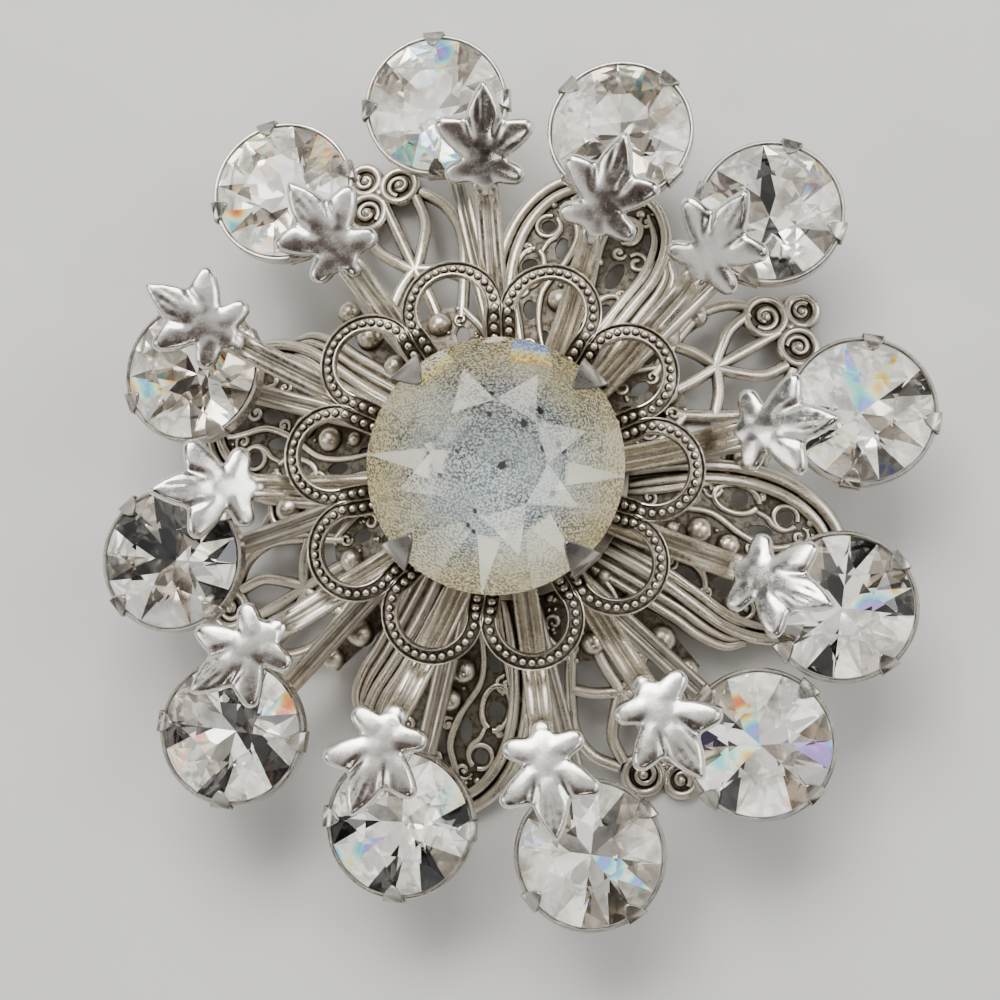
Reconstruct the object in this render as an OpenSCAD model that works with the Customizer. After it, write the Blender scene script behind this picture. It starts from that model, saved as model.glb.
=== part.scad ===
// Layered flower brooch, lying on its back, in millimetres.
// From the back upwards: a pin, a pierced filigree base, a star of flat arms that carries
// twelve claw-set stones, a spray of twelve stemmed leaves, a scalloped collar and a large
// claw-set centre stone. One rivet under the centre stone holds the layers together.

/* [Stones] */
// Diameter of the large centre stone
centre_stone_d = 18; // [17.8:0.1:18.2]
// Diameter of each stone of the outer ring
rim_stone_d = 10; // [9.8:0.1:10.2]
// Width of a stone's flat table as a share of its diameter
table_share = 0.45; // [0.4:0.01:0.5]
// Height of a stone's crown as a share of its diameter
crown_share = 0.17; // [0.16:0.005:0.18]
// Depth of a stone's pointed back as a share of its diameter
pavilion_share = 0.28; // [0.27:0.005:0.285]
// Height of a stone's upright edge as a share of its diameter
girdle_share = 0.025; // [0.02:0.005:0.03]

/* [Settings] */
// Gap between a piece and the piece it sits on
seat_gap = 0.06; // [0.05:0.01:0.08]
// Thickness of the sheet that the cups are stamped from
cup_sheet = 0.3; // [0.28:0.01:0.34]
// Height of the girdles of the outer stones above the surface below
rim_stone_z = 8.5; // [8.3:0.1:8.7]

/* [Filigree] */
// Height of the underside of the filigree's flat centre
dome_z = 5.6; // [5.5:0.1:5.8]
// Thickness of the filigree plate
plate_t = 0.8; // [0.75:0.05:0.9]
// Radius of the filigree's flat centre
plate_hub_r = 7.5; // [7.4:0.1:7.6]
// Reach of the filigree's lobes from the centre
lobe_reach = 25.4; // [25.2:0.1:25.6]

/* [Leaves and collar] */
// Height of the leaves where they join their stems
leaf_z = 13.2; // [13:0.1:13.5]
// Height of the collar's scallops
collar_rim_z = 12.7; // [12.6:0.1:12.9]
// Width of the collar's beaded band
band_w = 1.2; // [1.1:0.05:1.25]

/* [Hidden] */
$fn = 48;

// Colours of the metals and the stones
silver = "silver";
satin_silver = "darkgray";
dark_silver = "gray";
crystal = "aliceblue";

// One row for each outer stone, counter-clockwise from the right:
// angle, reach, turn of the claws, lean outwards
RIM_ANGLE = 0;
RIM_REACH = 1;
RIM_SPIN = 2;
RIM_LEAN = 3;
rim_rows = [
    [9.5, 25.8, -10, 2],
    [44.5, 27, 72, 3],
    [71.5, 26.8, 47, 3],
    [100.5, 28.4, 2, 0],
    [127.5, 27.4, 15, 4],
    [160.5, 24.8, 24, 9],
    [193, 25.3, 40, 4],
    [222.5, 27, -8, 2],
    [253, 25.9, -5, 4],
    [282.5, 27.5, 38, -3],
    [313, 26.2, 48, -4],
    [338, 25.6, 37, -3]];

// One row for each leaf, counter-clockwise from the right:
// angle, reach of the leaf's base, turn of the leaf about its base, rise of its tip
LEAF_ANGLE = 0;
LEAF_REACH = 1;
LEAF_TURN = 2;
LEAF_RISE = 3;
leaf_rows = [
    [7.5, 17.3, -5, 24],
    [43.5, 19.6, 10, 36],
    [67.5, 18.3, 1, 24],
    [92.5, 20.7, -6, 28],
    [125.5, 18.5, 1, 12],
    [153.5, 21.7, -7, 12],
    [183.5, 17.8, 1, 24],
    [215.5, 19.7, 1, 0],
    [247.5, 19.1, -1, 4],
    [279.5, 19, -1, 6],
    [303.5, 18.7, -1, 6],
    [336.5, 18.5, -1, 22]];

// The layers, from the filigree upwards
frame_t = 0.7;
spray_t = 0.7;
collar_t = 0.5;
cup_floor_t = 0.5;
frame_z = dome_z + plate_t + seat_gap;
spray_z = frame_z + frame_t + seat_gap;
collar_z = spray_z + spray_t + seat_gap;
centre_cup_z = collar_z + collar_t + seat_gap;
culet_gap = 0.12;
centre_stone_z = centre_cup_z + cup_floor_t + culet_gap
    + (pavilion_share + girdle_share / 2) * centre_stone_d;

// The rivet through the layers, and the smaller rivets of the cups and of the pin
rivet_r = 1.5;
rivet_head_r = 2.4;
rivet_head_t = 0.3;
small_rivet_r = 0.6;
small_head_r = 1.1;
pin_rivet_x = 4.5;
pin_y = 4.2;

// The cups: wall, floor and claws. The centre stone hides its cup's wall, which is inset
// and stops short of the girdle.
rim_wall_h = 1;
rim_floor_r = 2.4;
rim_claw_w = 1.5;
rim_claw_reach = 1.45;
centre_wall_h = 1.5;
centre_wall_inset = 0.4;
centre_wall_drop = 0.5;
centre_floor_r = 3.6;
centre_claw_w = 2.3;
centre_claw_reach = 2.2;
centre_claw_spin = 42;
rim_floor_z = -(pavilion_share + girdle_share / 2) * rim_stone_d - culet_gap - cup_floor_t;

// The star of arms
frame_hub_r = 8.8;
arm_w = 1.6;
arm_t = 0.6;
pad_r = 2.6;
pad_t = 0.7;

// The filigree's plates fold down from its centre, and their ends are cut flat to rest on
rest_cut = 0.25;
function slope_to(reach) = atan((dome_z + rest_cut) / (reach - plate_hub_r));
function length_to(reach) = (reach - plate_hub_r) / cos(slope_to(reach));
plate_len = length_to(lobe_reach);
rail_r = 0.42;
lobe_turn = 72;
tie_turn = 27;

// One row for each volute cluster: angle, reach
CLUSTER_ANGLE = 0;
CLUSTER_REACH = 1;
cluster_rows = [[29.5, 25.8], [114, 27.8], [205, 25.9], [297, 25.4]];

// Height of a leaf's section as a share of its width
leaf_flatness = 0.62;

// The collar's scallops
petals = 10;
petal_turn = 104.5;
petal_r = 3.05;
petal_centre = 11.3;
petal_hinge = 10.75;
petal_droop = 4;
petal_arc = 208;
// The collar sits a little off the middle of the layers
collar_shift = [-0.45, 0.45, 0];

// Shift that puts the middle of the whole outline over the origin. The claws stand out
// unevenly around it, which adds claw_shift.
claw_shift = [-0.16, -0.11, 0];
rim_xs = [for (row = rim_rows) row[RIM_REACH] * cos(row[RIM_ANGLE])];
rim_ys = [for (row = rim_rows) row[RIM_REACH] * sin(row[RIM_ANGLE])];
centring = claw_shift - [(max(rim_xs) + min(rim_xs)) / 2, (max(rim_ys) + min(rim_ys)) / 2, 0];

function on_ring(angle, r, z) = [r * cos(angle), r * sin(angle), z];
function ring_points(count, r, z, turn = 0) =
    [for (i = [0 : count - 1]) [r * cos(turn + i * 360 / count), r * sin(turn + i * 360 / count), z]];

// A round faceted stone about the middle of its girdle: an eight-sided table, eight star
// facets, eight kites and sixteen small facets above the girdle, and a pointed back below
module faceted_stone(d) {
    r = d / 2;
    half_girdle = girdle_share * r;
    crown_h = crown_share * d;
    pavilion_h = pavilion_share * d;
    table_r = table_share * r;
    star_r = 0.75 * r;
    back_r = 0.3 * r;
    flat = cos(22.5);
    star_z = half_girdle + crown_h * (r - star_r * flat) / (r - table_r);
    back_z = -half_girdle - pavilion_h * (1 - back_r * flat / r);
    table = 0;
    star = 8;
    upper = 16;
    lower = 32;
    back = 48;
    culet = 56;
    points = concat(
        ring_points(8, table_r, half_girdle + crown_h),
        ring_points(8, star_r, star_z, 22.5),
        ring_points(16, r, half_girdle),
        ring_points(16, r, -half_girdle),
        ring_points(8, back_r, back_z, 22.5),
        [[0, 0, -half_girdle - pavilion_h]]);
    faces = concat(
        [[for (i = [7 : -1 : 0]) table + i]],
        [for (i = [0 : 7]) [table + i, table + (i + 1) % 8, star + i]],
        [for (i = [0 : 7]) [table + i, star + i, upper + 2 * i, star + (i + 7) % 8]],
        [for (i = [0 : 7]) [star + i, upper + 2 * i + 1, upper + 2 * i]],
        [for (i = [0 : 7]) [star + i, upper + (2 * i + 2) % 16, upper + 2 * i + 1]],
        [for (i = [0 : 15]) [upper + i, upper + (i + 1) % 16, lower + (i + 1) % 16, lower + i]],
        [for (i = [0 : 7]) [back + i, lower + 2 * i, lower + 2 * i + 1]],
        [for (i = [0 : 7]) [back + i, lower + 2 * i + 1, lower + (2 * i + 2) % 16]],
        [for (i = [0 : 7]) [culet, back + (i + 7) % 8, lower + 2 * i, back + i]]);
    polyhedron(points, faces);
}

// A profile drawn as reach against height, made a strip of the given width along +X
module radial_strip(width) {
    rotate([90, 0, 0]) linear_extrude(width, center = true) children();
}

// A four-claw cup about the middle of its stone's girdle, with its wall's inner radius and
// top height. The rivet goes down from its floor and has its head at rivet_len below it.
module claw_cup(d, wall_in, wall_top, wall_h, floor_r, claw_w, claw_reach, shank_r, head_r,
        rivet_len) {
    r = d / 2;
    half_girdle = girdle_share * r;
    wall_out = wall_in + cup_sheet;
    claw_out = r + seat_gap + cup_sheet;
    floor_z = -(pavilion_share + girdle_share / 2) * d - culet_gap - cup_floor_t;
    claw_steep = 0.76;
    tip = claw_out + cup_sheet - claw_reach;
    tip_z = half_girdle + seat_gap + (r - tip) * claw_steep;
    difference() {
        translate([0, 0, -wall_h]) cylinder(h = wall_h + wall_top, r = wall_out);
        translate([0, 0, -wall_h - 1]) cylinder(h = wall_h + wall_top + 2, r = wall_in);
    }
    translate([0, 0, floor_z]) cylinder(h = cup_floor_t, r = floor_r);
    translate([0, 0, floor_z - rivet_len]) cylinder(h = rivet_len + cup_floor_t / 2, r = shank_r);
    translate([0, 0, floor_z - rivet_len]) cylinder(h = rivet_head_t, r = head_r);
    for (i = [0 : 3]) rotate([0, 0, i * 90]) {
        radial_strip(claw_w)
            polygon([
                [wall_in, -wall_h + 0.3],
                [wall_out, -wall_h + 0.3],
                [wall_out, -wall_h],
                [floor_r, floor_z],
                [floor_r - 0.3, floor_z + cup_floor_t]]);
        intersection() {
            radial_strip(2 * claw_w)
                polygon([
                    [wall_out - 0.05, -wall_h],
                    [wall_out - 0.05, wall_top],
                    [r + seat_gap, max(wall_top, -half_girdle - 0.1)],
                    [r + seat_gap, half_girdle + seat_gap],
                    [tip, tip_z],
                    [tip, tip_z + cup_sheet],
                    [claw_out - 0.1, half_girdle + cup_sheet + 0.35],
                    [claw_out + cup_sheet - 0.05, half_girdle + 0.25],
                    [claw_out + cup_sheet - 0.05, -wall_h]]);
            translate([0, 0, -wall_h - 1]) linear_extrude(wall_h + crown_share * d + 2)
                polygon([
                    [claw_out + 1, -claw_w * 0.5],
                    [claw_out + 1, claw_w * 0.5],
                    [claw_out - 0.1, claw_w * 0.5],
                    [tip, 0],
                    [claw_out - 0.1, -claw_w * 0.5]]);
        }
    }
}

// Puts its children at an outer stone's girdle, leaning as its arm does
module at_rim(i, spin = true) {
    row = rim_rows[i];
    translate(centring)
        rotate([0, 0, row[RIM_ANGLE]])
        translate([row[RIM_REACH], 0, rim_stone_z])
        rotate([0, row[RIM_LEAN], 0])
        rotate([0, 0, spin ? row[RIM_SPIN] - row[RIM_ANGLE] : 0])
        children();
}

module rim_stone(i) {
    color(crystal) at_rim(i) rotate([0, 0, 22.5]) faceted_stone(rim_stone_d);
}

module rim_cup(i) {
    color(dark_silver)
        at_rim(i)
        claw_cup(rim_stone_d, rim_stone_d / 2 + seat_gap, girdle_share * rim_stone_d / 2,
            rim_wall_h, rim_floor_r, rim_claw_w, rim_claw_reach, small_rivet_r, small_head_r, pad_t + 2 * seat_gap + rivet_head_t);
}

module centre_stone() {
    color(crystal)
        translate(centring + [0, 0, centre_stone_z])
        rotate([0, 0, centre_claw_spin + 22.5])
        faceted_stone(centre_stone_d);
}

module centre_cup() {
    color(dark_silver)
        translate(centring + [0, 0, centre_stone_z])
        rotate([0, 0, centre_claw_spin])
        claw_cup(centre_stone_d, centre_stone_d / 2 - centre_wall_inset, -centre_wall_drop,
            centre_wall_h, centre_floor_r, centre_claw_w, centre_claw_reach, rivet_r, rivet_head_r, centre_cup_z - dome_z + seat_gap + rivet_head_t);
}

// A flat bar from one point to another
module bar(from, to, width, thickness) {
    run = to - from;
    translate(from)
        rotate([0, 0, atan2(run[1], run[0])])
        rotate([0, -asin(run[2] / norm(run)), 0])
        translate([0, -width / 2, -thickness / 2])
        cube([norm(run), width, thickness]);
}

// The star of twelve flat arms, each ending in the round pad that a cup is riveted to.
// Each arm starts under a leaf's stem.
module cup_frame() {
    pad_z = rim_floor_z - seat_gap - pad_t;
    color(satin_silver)
        difference() {
            union() {
                translate(centring + [0, 0, frame_z]) cylinder(h = frame_t, r = frame_hub_r);
                for (i = [0 : len(rim_rows) - 1]) {
                    row = rim_rows[i];
                    lean = row[RIM_LEAN];
                    middle = pad_z + pad_t / 2;
                    pad = on_ring(row[RIM_ANGLE], row[RIM_REACH] + middle * sin(lean),
                        rim_stone_z + middle * cos(lean) + (pad_r - 0.5) * sin(lean) - 0.1);
                    start = on_ring(leaf_rows[i][LEAF_ANGLE], frame_hub_r - 0.6,
                        frame_z + frame_t / 2);
                    run = pad - start;
                    at_rim(i, false) translate([0, 0, pad_z]) cylinder(h = pad_t, r = pad_r);
                    translate(centring)
                        bar(start, pad - run * (pad_r - 0.5) / norm([run[0], run[1]]) +
                            [0, 0, run[2] * (pad_r - 0.5) / norm([run[0], run[1]])],
                            arm_w, arm_t);
                }
            }
            translate(centring + [0, 0, frame_z - 1]) cylinder(h = frame_t + 2, r = rivet_r + seat_gap);
            for (i = [0 : len(rim_rows) - 1])
                at_rim(i, false)
                    translate([0, 0, pad_z - 1])
                    cylinder(h = pad_t + 2, r = small_rivet_r + seat_gap);
        }
}

// A flattened ball, the building block of the leaves and stems
module bead(place, r, sides = 6) {
    translate(place) scale([1, 1, leaf_flatness]) sphere(r, $fn = sides);
}

// One leaf with two round base lobes, two blunt side lobes and a pointed middle lobe,
// lying along +X from the end of its stem
module five_lobe_leaf() {
    hull() {
        bead([-0.9, 0, 0], 0.7);
        bead([2.9, 0, 0.1], 0.9);
    }
    hull() {
        bead([3, 0, 0.1], 0.7);
        bead([4.3, 0, 0.15], 0.9);
        bead([6.4, 0, -0.1], 0.2, 4);
    }
    for (side = [-1, 1]) {
        hull() {
            bead([0.6, side * 0.3, 0], 0.5);
            bead([0.1, side * 1.75, 0.1], 0.95);
        }
        hull() {
            bead([2.1, side * 0.5, 0], 0.6);
            bead([3.3, side * 2.5, 0], 0.85);
        }
    }
}

// The spray: twelve leaves on stems that rise from one flat hub
module leaf_spray() {
    hub_mid = spray_z + spray_t / 2;
    hub_r = 5.8;
    color(silver)
        translate(centring)
        difference() {
            union() {
                translate([0, 0, spray_z]) cylinder(h = spray_t, r = hub_r, $fn = 40);
                for (row = leaf_rows) {
                    reach = row[LEAF_REACH];
                    // Reach and height of the stem's bends, and its thickness there
                    bends = [
                        [5.2, hub_mid, 0.52],
                        [9.6, hub_mid + 0.8, 0.7],
                        [14.2, hub_mid + 2.7, 0.75],
                        [reach - 0.6, leaf_z - 0.2, 0.7]];
                    rotate([0, 0, row[LEAF_ANGLE]]) {
                        for (i = [0 : len(bends) - 2]) hull() {
                            bead([bends[i][0], 0, bends[i][1]], bends[i][2]);
                            bead([bends[i + 1][0], 0, bends[i + 1][1]], bends[i + 1][2]);
                        }
                        translate([reach, 0, leaf_z])
                            rotate([0, 0, row[LEAF_TURN]])
                            rotate([0, -row[LEAF_RISE], 0])
                            five_lobe_leaf();
                    }
                }
            }
            translate([0, 0, spray_z - 1]) cylinder(h = spray_t + 2, r = rivet_r + seat_gap, $fn = 32);
        }
}

// The scalloped collar: ten open petals that droop a little, on ten arms from a flat hub
module scalloped_collar() {
    hub_r = 5.2;
    arm_out_w = 2.2;
    arm_in_w = 1.2;
    arm_start = [hub_r - 0.85, collar_z + collar_t / 2];
    arm_end = [petal_hinge + 0.6, collar_rim_z - 0.15];
    arm_run = arm_end - arm_start;
    color(satin_silver)
        translate(centring)
        difference() {
            union() {
                translate([0, 0, collar_z]) cylinder(h = collar_t, r = hub_r);
                translate(collar_shift) for (i = [0 : petals - 1]) {
                    rotate([0, 0, petal_turn + i * 360 / petals])
                        translate([petal_hinge, 0, collar_rim_z])
                        rotate([0, petal_droop, 0])
                        translate([petal_centre - petal_hinge, 0, 0])
                        rotate([0, 0, -petal_arc / 2])
                        rotate_extrude(angle = petal_arc)
                        translate([petal_r - band_w / 2, -collar_t / 2])
                        square([band_w, collar_t]);
                    rotate([0, 0, petal_turn + (i + 0.5) * 360 / petals])
                        translate([arm_start[0], 0, arm_start[1]])
                        rotate([0, -atan2(arm_run[1], arm_run[0]), 0])
                        translate([0, 0, -collar_t / 2])
                        linear_extrude(collar_t)
                        polygon([
                            [0, -arm_in_w / 2],
                            [norm(arm_run), -arm_out_w / 2],
                            [norm(arm_run), arm_out_w / 2],
                            [0, arm_in_w / 2]]);
                }
            }
            translate([0, 0, collar_z - 1]) cylinder(h = collar_t + 2, r = rivet_r + seat_gap);
        }
}

// Part of a flat ring about the origin, from one angle over a given sweep
module ring_sector(r_in, r_out, start, sweep, height = plate_t) {
    rotate([0, 0, start])
        rotate_extrude(angle = sweep)
        translate([r_in, 0])
        square([r_out - r_in, height]);
}

// A half-round raised rail along an arc, at the plate's top face
module arc_rail(r, start, sweep) {
    translate([0, 0, plate_t])
        rotate([0, 0, start])
        rotate_extrude(angle = sweep)
        translate([r, 0])
        circle(rail_r, $fn = 24);
}

// A raised rail between two points of a plate
module straight_rail(from, to) {
    run = to - from;
    translate([from[0], from[1], plate_t])
        rotate([0, 0, atan2(run[1], run[0])])
        rotate([0, 90, 0])
        cylinder(h = norm(run), r = rail_r, $fn = 24);
}

// Puts a flat plate, drawn along +X from its fold, in its place on the dome
module folded_plate(turn, reach = lobe_reach) {
    rotate([0, 0, turn])
        translate([plate_hub_r, 0, dome_z])
        rotate([0, slope_to(reach), 0])
        children();
}

// One broad paisley lobe: double rails, three round holes on one side, curved slits on
// the other, and two domes
module lobe() {
    lobe_r = 6.2;
    lobe_x = plate_len - lobe_r;
    neck_w = 5.4;
    difference() {
        linear_extrude(plate_t) difference() {
            union() {
                translate([lobe_x, 0]) circle(lobe_r);
                polygon([
                    [-0.3, -neck_w / 2],
                    [lobe_x - 2.2, -lobe_r * 0.93],
                    [lobe_x - 2.2, lobe_r * 0.93],
                    [-0.3, neck_w / 2]]);
            }
            translate([lobe_x - 3.2, 4.3]) circle(0.75);
            translate([lobe_x, 4]) circle(0.6);
            translate([lobe_x + 2.4, 2.9]) circle(0.5);
            translate([3.4, 1.35]) circle(0.7);
            translate([3.4, -1.35]) circle(0.7);
            translate([5.6, 2.4]) circle(0.55);
            translate([lobe_x + 2, 0]) circle(0.75);
            translate([lobe_x + 2.2, -1.9]) circle(0.5);
        }
        translate([lobe_x, 0, -1]) {
            ring_sector(3.3, 4.1, 205, 40, plate_t + 2);
            ring_sector(3.3, 4.1, 255, 50, plate_t + 2);
            ring_sector(1.5, 2.3, 150, 60, plate_t + 2);
            ring_sector(1.5, 2.3, 225, 75, plate_t + 2);
        }
    }
    translate([lobe_x, 0, 0]) {
        arc_rail(lobe_r - rail_r, -118, 236);
        arc_rail(lobe_r - 3 * rail_r - 0.1, -118, 236);
        arc_rail(2.75, 120, 180);
    }
    for (side = [-1, 1])
        straight_rail([2.4, side * (neck_w / 2 + 0.4)], [lobe_x - 2.6, side * (lobe_r * 0.9)]);
    translate([lobe_x - 5.2, 0.5, plate_t]) sphere(1.05);
    translate([lobe_x - 2.6, 0.9, plate_t]) sphere(0.95);
}

// A small ring with a ball in its eye
module volute(place, r) {
    translate([place[0], place[1], 0]) {
        difference() {
            cylinder(h = plate_t + 0.5, r = r);
            translate([0, 0, -1]) cylinder(h = plate_t + 2, r = r * 0.55);
        }
        translate([0, 0, plate_t - 0.1]) sphere(r * 0.38);
        translate([-r * 0.7, -0.15, 0]) cube([r * 1.4, 0.3, plate_t]);
    }
}

// One cluster of three volutes on forked wires, open between them, with its tip at
// plate_length
module volute_cluster(plate_length) {
    wire_w = 0.8;
    tip = plate_length - 18.8;
    // The wires of the fork: from x, y to x, y
    wires = [
        [5.5, 0, 10.4, 0],
        [10.2, 0, 13.2 + tip, 2.3],
        [10.2, 0, 13.2 + tip, -2.3],
        [13 + tip, 2.2, 15.6 + tip, 1.9],
        [13 + tip, -2.2, 15.8 + tip, -1.6],
        [7, 1.6, 12.6 + tip, 4.4],
        [7, -1.6, 12.6 + tip, -4.4],
        [12.3 + tip, 4.3, 15 + tip, 2.9],
        [12.3 + tip, -4.3, 15 + tip, -2.9],
        [10.2, 0, 15.9 + tip, 0.2]];
    linear_extrude(plate_t) difference() {
        polygon([[-0.3, -2.4], [7.4, -3], [8.2, 0], [7.4, 3], [-0.3, 2.4]]);
        translate([2.6, 0]) circle(0.7);
        translate([4.6, 1.3]) circle(0.6);
        translate([4.6, -1.3]) circle(0.6);
    }
    for (wire = wires) {
        run = [wire[2] - wire[0], wire[3] - wire[1]];
        translate([wire[0], wire[1], 0])
            rotate([0, 0, atan2(run[1], run[0])])
            translate([-wire_w / 2, -wire_w / 2, 0])
            cube([norm(run) + wire_w, wire_w, plate_t + 0.25]);
    }
    volute([16.1 + tip, 1.9], 1.3);
    volute([16.4 + tip, -1.5], 1.2);
    volute([17.8 + tip, 0.4], 1);
    for (side = [-1, 1]) straight_rail([2.4, side * 2.3], [7, side * 2.8]);
    translate([6.2, 0, plate_t]) sphere(0.95);
}

// A ringed dome on the side of a lobe that faces a cluster
module side_tie(side) {
    translate([8.6, side * 6.4, 0]) {
        ring_sector(1.1, 1.8, 0, 360);
        translate([0, 0, plate_t * 0.5]) sphere(1.3);
    }
}

// The pierced base: a flat centre with four lobes and four volute clusters folded down
module filigree_base() {
    color(satin_silver)
        translate(centring)
        difference() {
            union() {
                translate([0, 0, dome_z]) cylinder(h = plate_t, r = plate_hub_r + 0.1);
                for (i = [0 : 3]) {
                    folded_plate(lobe_turn + i * 90) lobe();
                    for (side = [-1, 1]) folded_plate(tie_turn + i * 90) side_tie(side);
                }
                for (row = cluster_rows)
                    folded_plate(row[CLUSTER_ANGLE], row[CLUSTER_REACH])
                        volute_cluster(length_to(row[CLUSTER_REACH]));
            }
            translate([-40, -40, -10]) cube([80, 80, 10]);
            translate([0, 0, dome_z - 1]) cylinder(h = plate_t + 2, r = rivet_r + seat_gap);
            for (side = [-1, 1])
                translate([side * pin_rivet_x, pin_y, dome_z - 1])
                cylinder(h = plate_t + 2, r = small_rivet_r + seat_gap);
        }
}

// The pin: a bar riveted under the filigree, with a hinge post, a catch and the pin wire
module pin_back() {
    bar_w = 2.6;
    bar_t = 0.7;
    flat_x = 5.2;
    end_x = 14.5;
    wing_slope = 17;
    wire_r = 0.5;
    wire_z = 1.4;
    bar_z = dome_z - seat_gap - bar_t;
    wing_len = (end_x - flat_x) / cos(wing_slope);
    end_z = bar_z - wing_len * sin(wing_slope);
    color(dark_silver)
        translate(centring + [0, pin_y, 0]) {
            translate([-flat_x, -bar_w / 2, bar_z]) cube([2 * flat_x, bar_w, bar_t]);
            for (side = [-1, 1]) {
                translate([side * pin_rivet_x, 0, bar_z + bar_t / 2])
                    cylinder(h = dome_z + plate_t - bar_z - bar_t / 2 - 0.02, r = small_rivet_r);
                rotate([0, 0, side > 0 ? 0 : 180])
                    translate([flat_x, 0, bar_z])
                    rotate([0, wing_slope, 0])
                    translate([-0.2, -bar_w / 2, 0])
                    cube([wing_len + 0.2, bar_w, bar_t]);
                translate([side * (end_x - 0.8) - 0.8, -bar_w / 2, wire_z - wire_r - 0.3])
                    cube([1.6, bar_w, end_z + 0.5 - wire_z + wire_r + 0.3]);
            }
            translate([-end_x, 0, wire_z]) rotate([0, 90, 0]) cylinder(h = 2 * end_x, r = wire_r);
        }
}

filigree_base();
pin_back();
cup_frame();
leaf_spray();
scalloped_collar();
centre_cup();
centre_stone();
for (i = [0 : len(rim_rows) - 1]) {
    number = str(i < 9 ? "0" : "", i + 1);
    rim_cup(i);
    rim_stone(i);
}
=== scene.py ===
# Layered flower brooch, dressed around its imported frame: faceted stones in claw cups, cast
# leaves, a beaded collar and a pierced filigree base. Lengths in the code are millimetres;
# every mesh is scaled to metres as it is finished.
import math
import random

import bmesh
import bpy
from bpy.props import FloatProperty, FloatVectorProperty, PointerProperty
from mathutils import Matrix, Vector


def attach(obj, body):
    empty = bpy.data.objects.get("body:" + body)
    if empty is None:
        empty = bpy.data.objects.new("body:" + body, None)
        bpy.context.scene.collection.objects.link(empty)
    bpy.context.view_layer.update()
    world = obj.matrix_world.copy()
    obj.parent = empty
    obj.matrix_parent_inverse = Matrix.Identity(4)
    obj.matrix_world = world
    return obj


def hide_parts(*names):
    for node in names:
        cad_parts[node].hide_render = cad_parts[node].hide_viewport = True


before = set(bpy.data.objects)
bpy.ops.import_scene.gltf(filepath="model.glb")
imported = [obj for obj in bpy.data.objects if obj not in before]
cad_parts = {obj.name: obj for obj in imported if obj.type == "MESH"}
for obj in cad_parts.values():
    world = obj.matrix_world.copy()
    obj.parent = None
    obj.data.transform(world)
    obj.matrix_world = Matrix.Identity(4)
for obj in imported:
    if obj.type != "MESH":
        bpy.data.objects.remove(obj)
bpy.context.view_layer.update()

bl_info = {
    "name": "Flower brooch",
    "version": (1, 0, 0),
    "blender": (4, 5, 0),
    "location": "View3D > Sidebar > Brooch",
    "description": "Builds the pieces and finishes of a layered flower brooch",
    "category": "Object",
}

MM = 0.001
DISC_EASE = 0.05
BODY = "root"

# Focal length that gives the photo's frame at the camera's distance
CAMERA_LENS = 69.95

# One row for each outer stone: angle, reach, turn of the claws, lean outwards
RIM_ROWS = [
    (9.5, 25.8, -10, 2), (44.5, 27, 72, 3), (71.5, 26.8, 47, 3), (100.5, 28.4, 2, 0),
    (127.5, 27.4, 15, 4), (160.5, 24.8, 24, 9), (193, 25.3, 40, 4), (222.5, 27, -8, 2),
    (253, 25.9, -5, 4), (282.5, 27.5, 38, -3), (313, 26.2, 48, -4), (338, 25.6, 37, -3)]
# One row for each leaf: angle, reach of its base, turn about its base, rise of its tip
LEAF_ROWS = [
    (7.5, 17.3, -5, 24), (43.5, 19.6, 10, 36), (67.5, 18.3, 1, 24), (92.5, 20.7, -6, 28),
    (125.5, 18.5, 1, 12), (153.5, 21.7, -7, 12), (183.5, 17.8, 1, 24), (215.5, 19.7, 1, 0),
    (247.5, 19.1, -1, 4), (279.5, 19, -1, 6), (303.5, 18.7, -1, 6), (336.5, 18.5, -1, 22)]

RIM_D = 10
RIM_Z = 8.5
CENTRE_D = 18
CENTRE_Z = 14.425
CENTRE_SPIN = 42
TABLE_SPIN = 39
TABLE_SHARE = 0.45
CROWN_SHARE = 0.17
PAVILION_SHARE = 0.28
GIRDLE_SHARE = 0.025
# How bright the foil behind an outer stone's facet may be painted, as painted reflections, and
# how many facets show painted fire
FACET_TONES = (0.0, 0.14, 0.3, 0.45, 0.6, 0.7, 0.8, 0.88, 0.92, 0.96, 1.0, 1.0, 1.0)
FIRE_FACETS = (2, 1, 1, 2, 2, 1, 0, 1, 1, 1, 3, 1)
# The facets of a stone's back, and how many tones are drawn for them and the girdle
BACK_FACETS = 24
TONES_DRAWN = 37
# The darkest painted tone that each outer stone's foil has: the upper ones are painted paler and
# flatter
LEAST_TONES = (0.15, 0.3, 0.52, 0.58, 0.5, 0.45, 0.0, 0.1, 0.0, 0.05, 0.05, 0.2)
# Painted shade of the crown's facets, and the painted tone of the girdle's sides
CROWN_TONES = (1.0, 0.35, 0.8, 0.0, 0.9, 0.55, 1.0)
GIRDLE_TONE = 0.1
# How bright each facet of the centre stone's foil is painted beyond the table, as painted
# glints: eight main facets, then the sixteen beside them
CENTRE_TONES = (0.0, 0.15, 0.3, 1.0, 0.1, 1.0, 1.0, 1.0,
                0.0, 0.3, 0.1, 0.0, 0.45, 0.1, 0.0, 0.25, 0.5, 0.0, 0.2, 0.6, 0.0, 0.15, 0.4, 0.1)
SEAT_GAP = 0.06
CUP_SHEET = 0.3
CLAW_SHEET = 0.26
# Room between a stone's point and its cup's floor, and the floor's thickness
POINT_ROOM = 0.12
CUP_FLOOR_T = 0.5

# The layers' heights
DOME_Z = 5.6
FRAME_Z = 6.46
SPRAY_Z = 7.22
COLLAR_Z = 7.98
COLLAR_RIM_Z = 12.7
LEAF_Z = 13.2
# The hubs of the layers, and the thickness of their plates
SPRAY_HUB_R = 5.8
COLLAR_HUB_R = 5.2
PLATE_T = 0.7
COLLAR_T = 0.5

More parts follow.
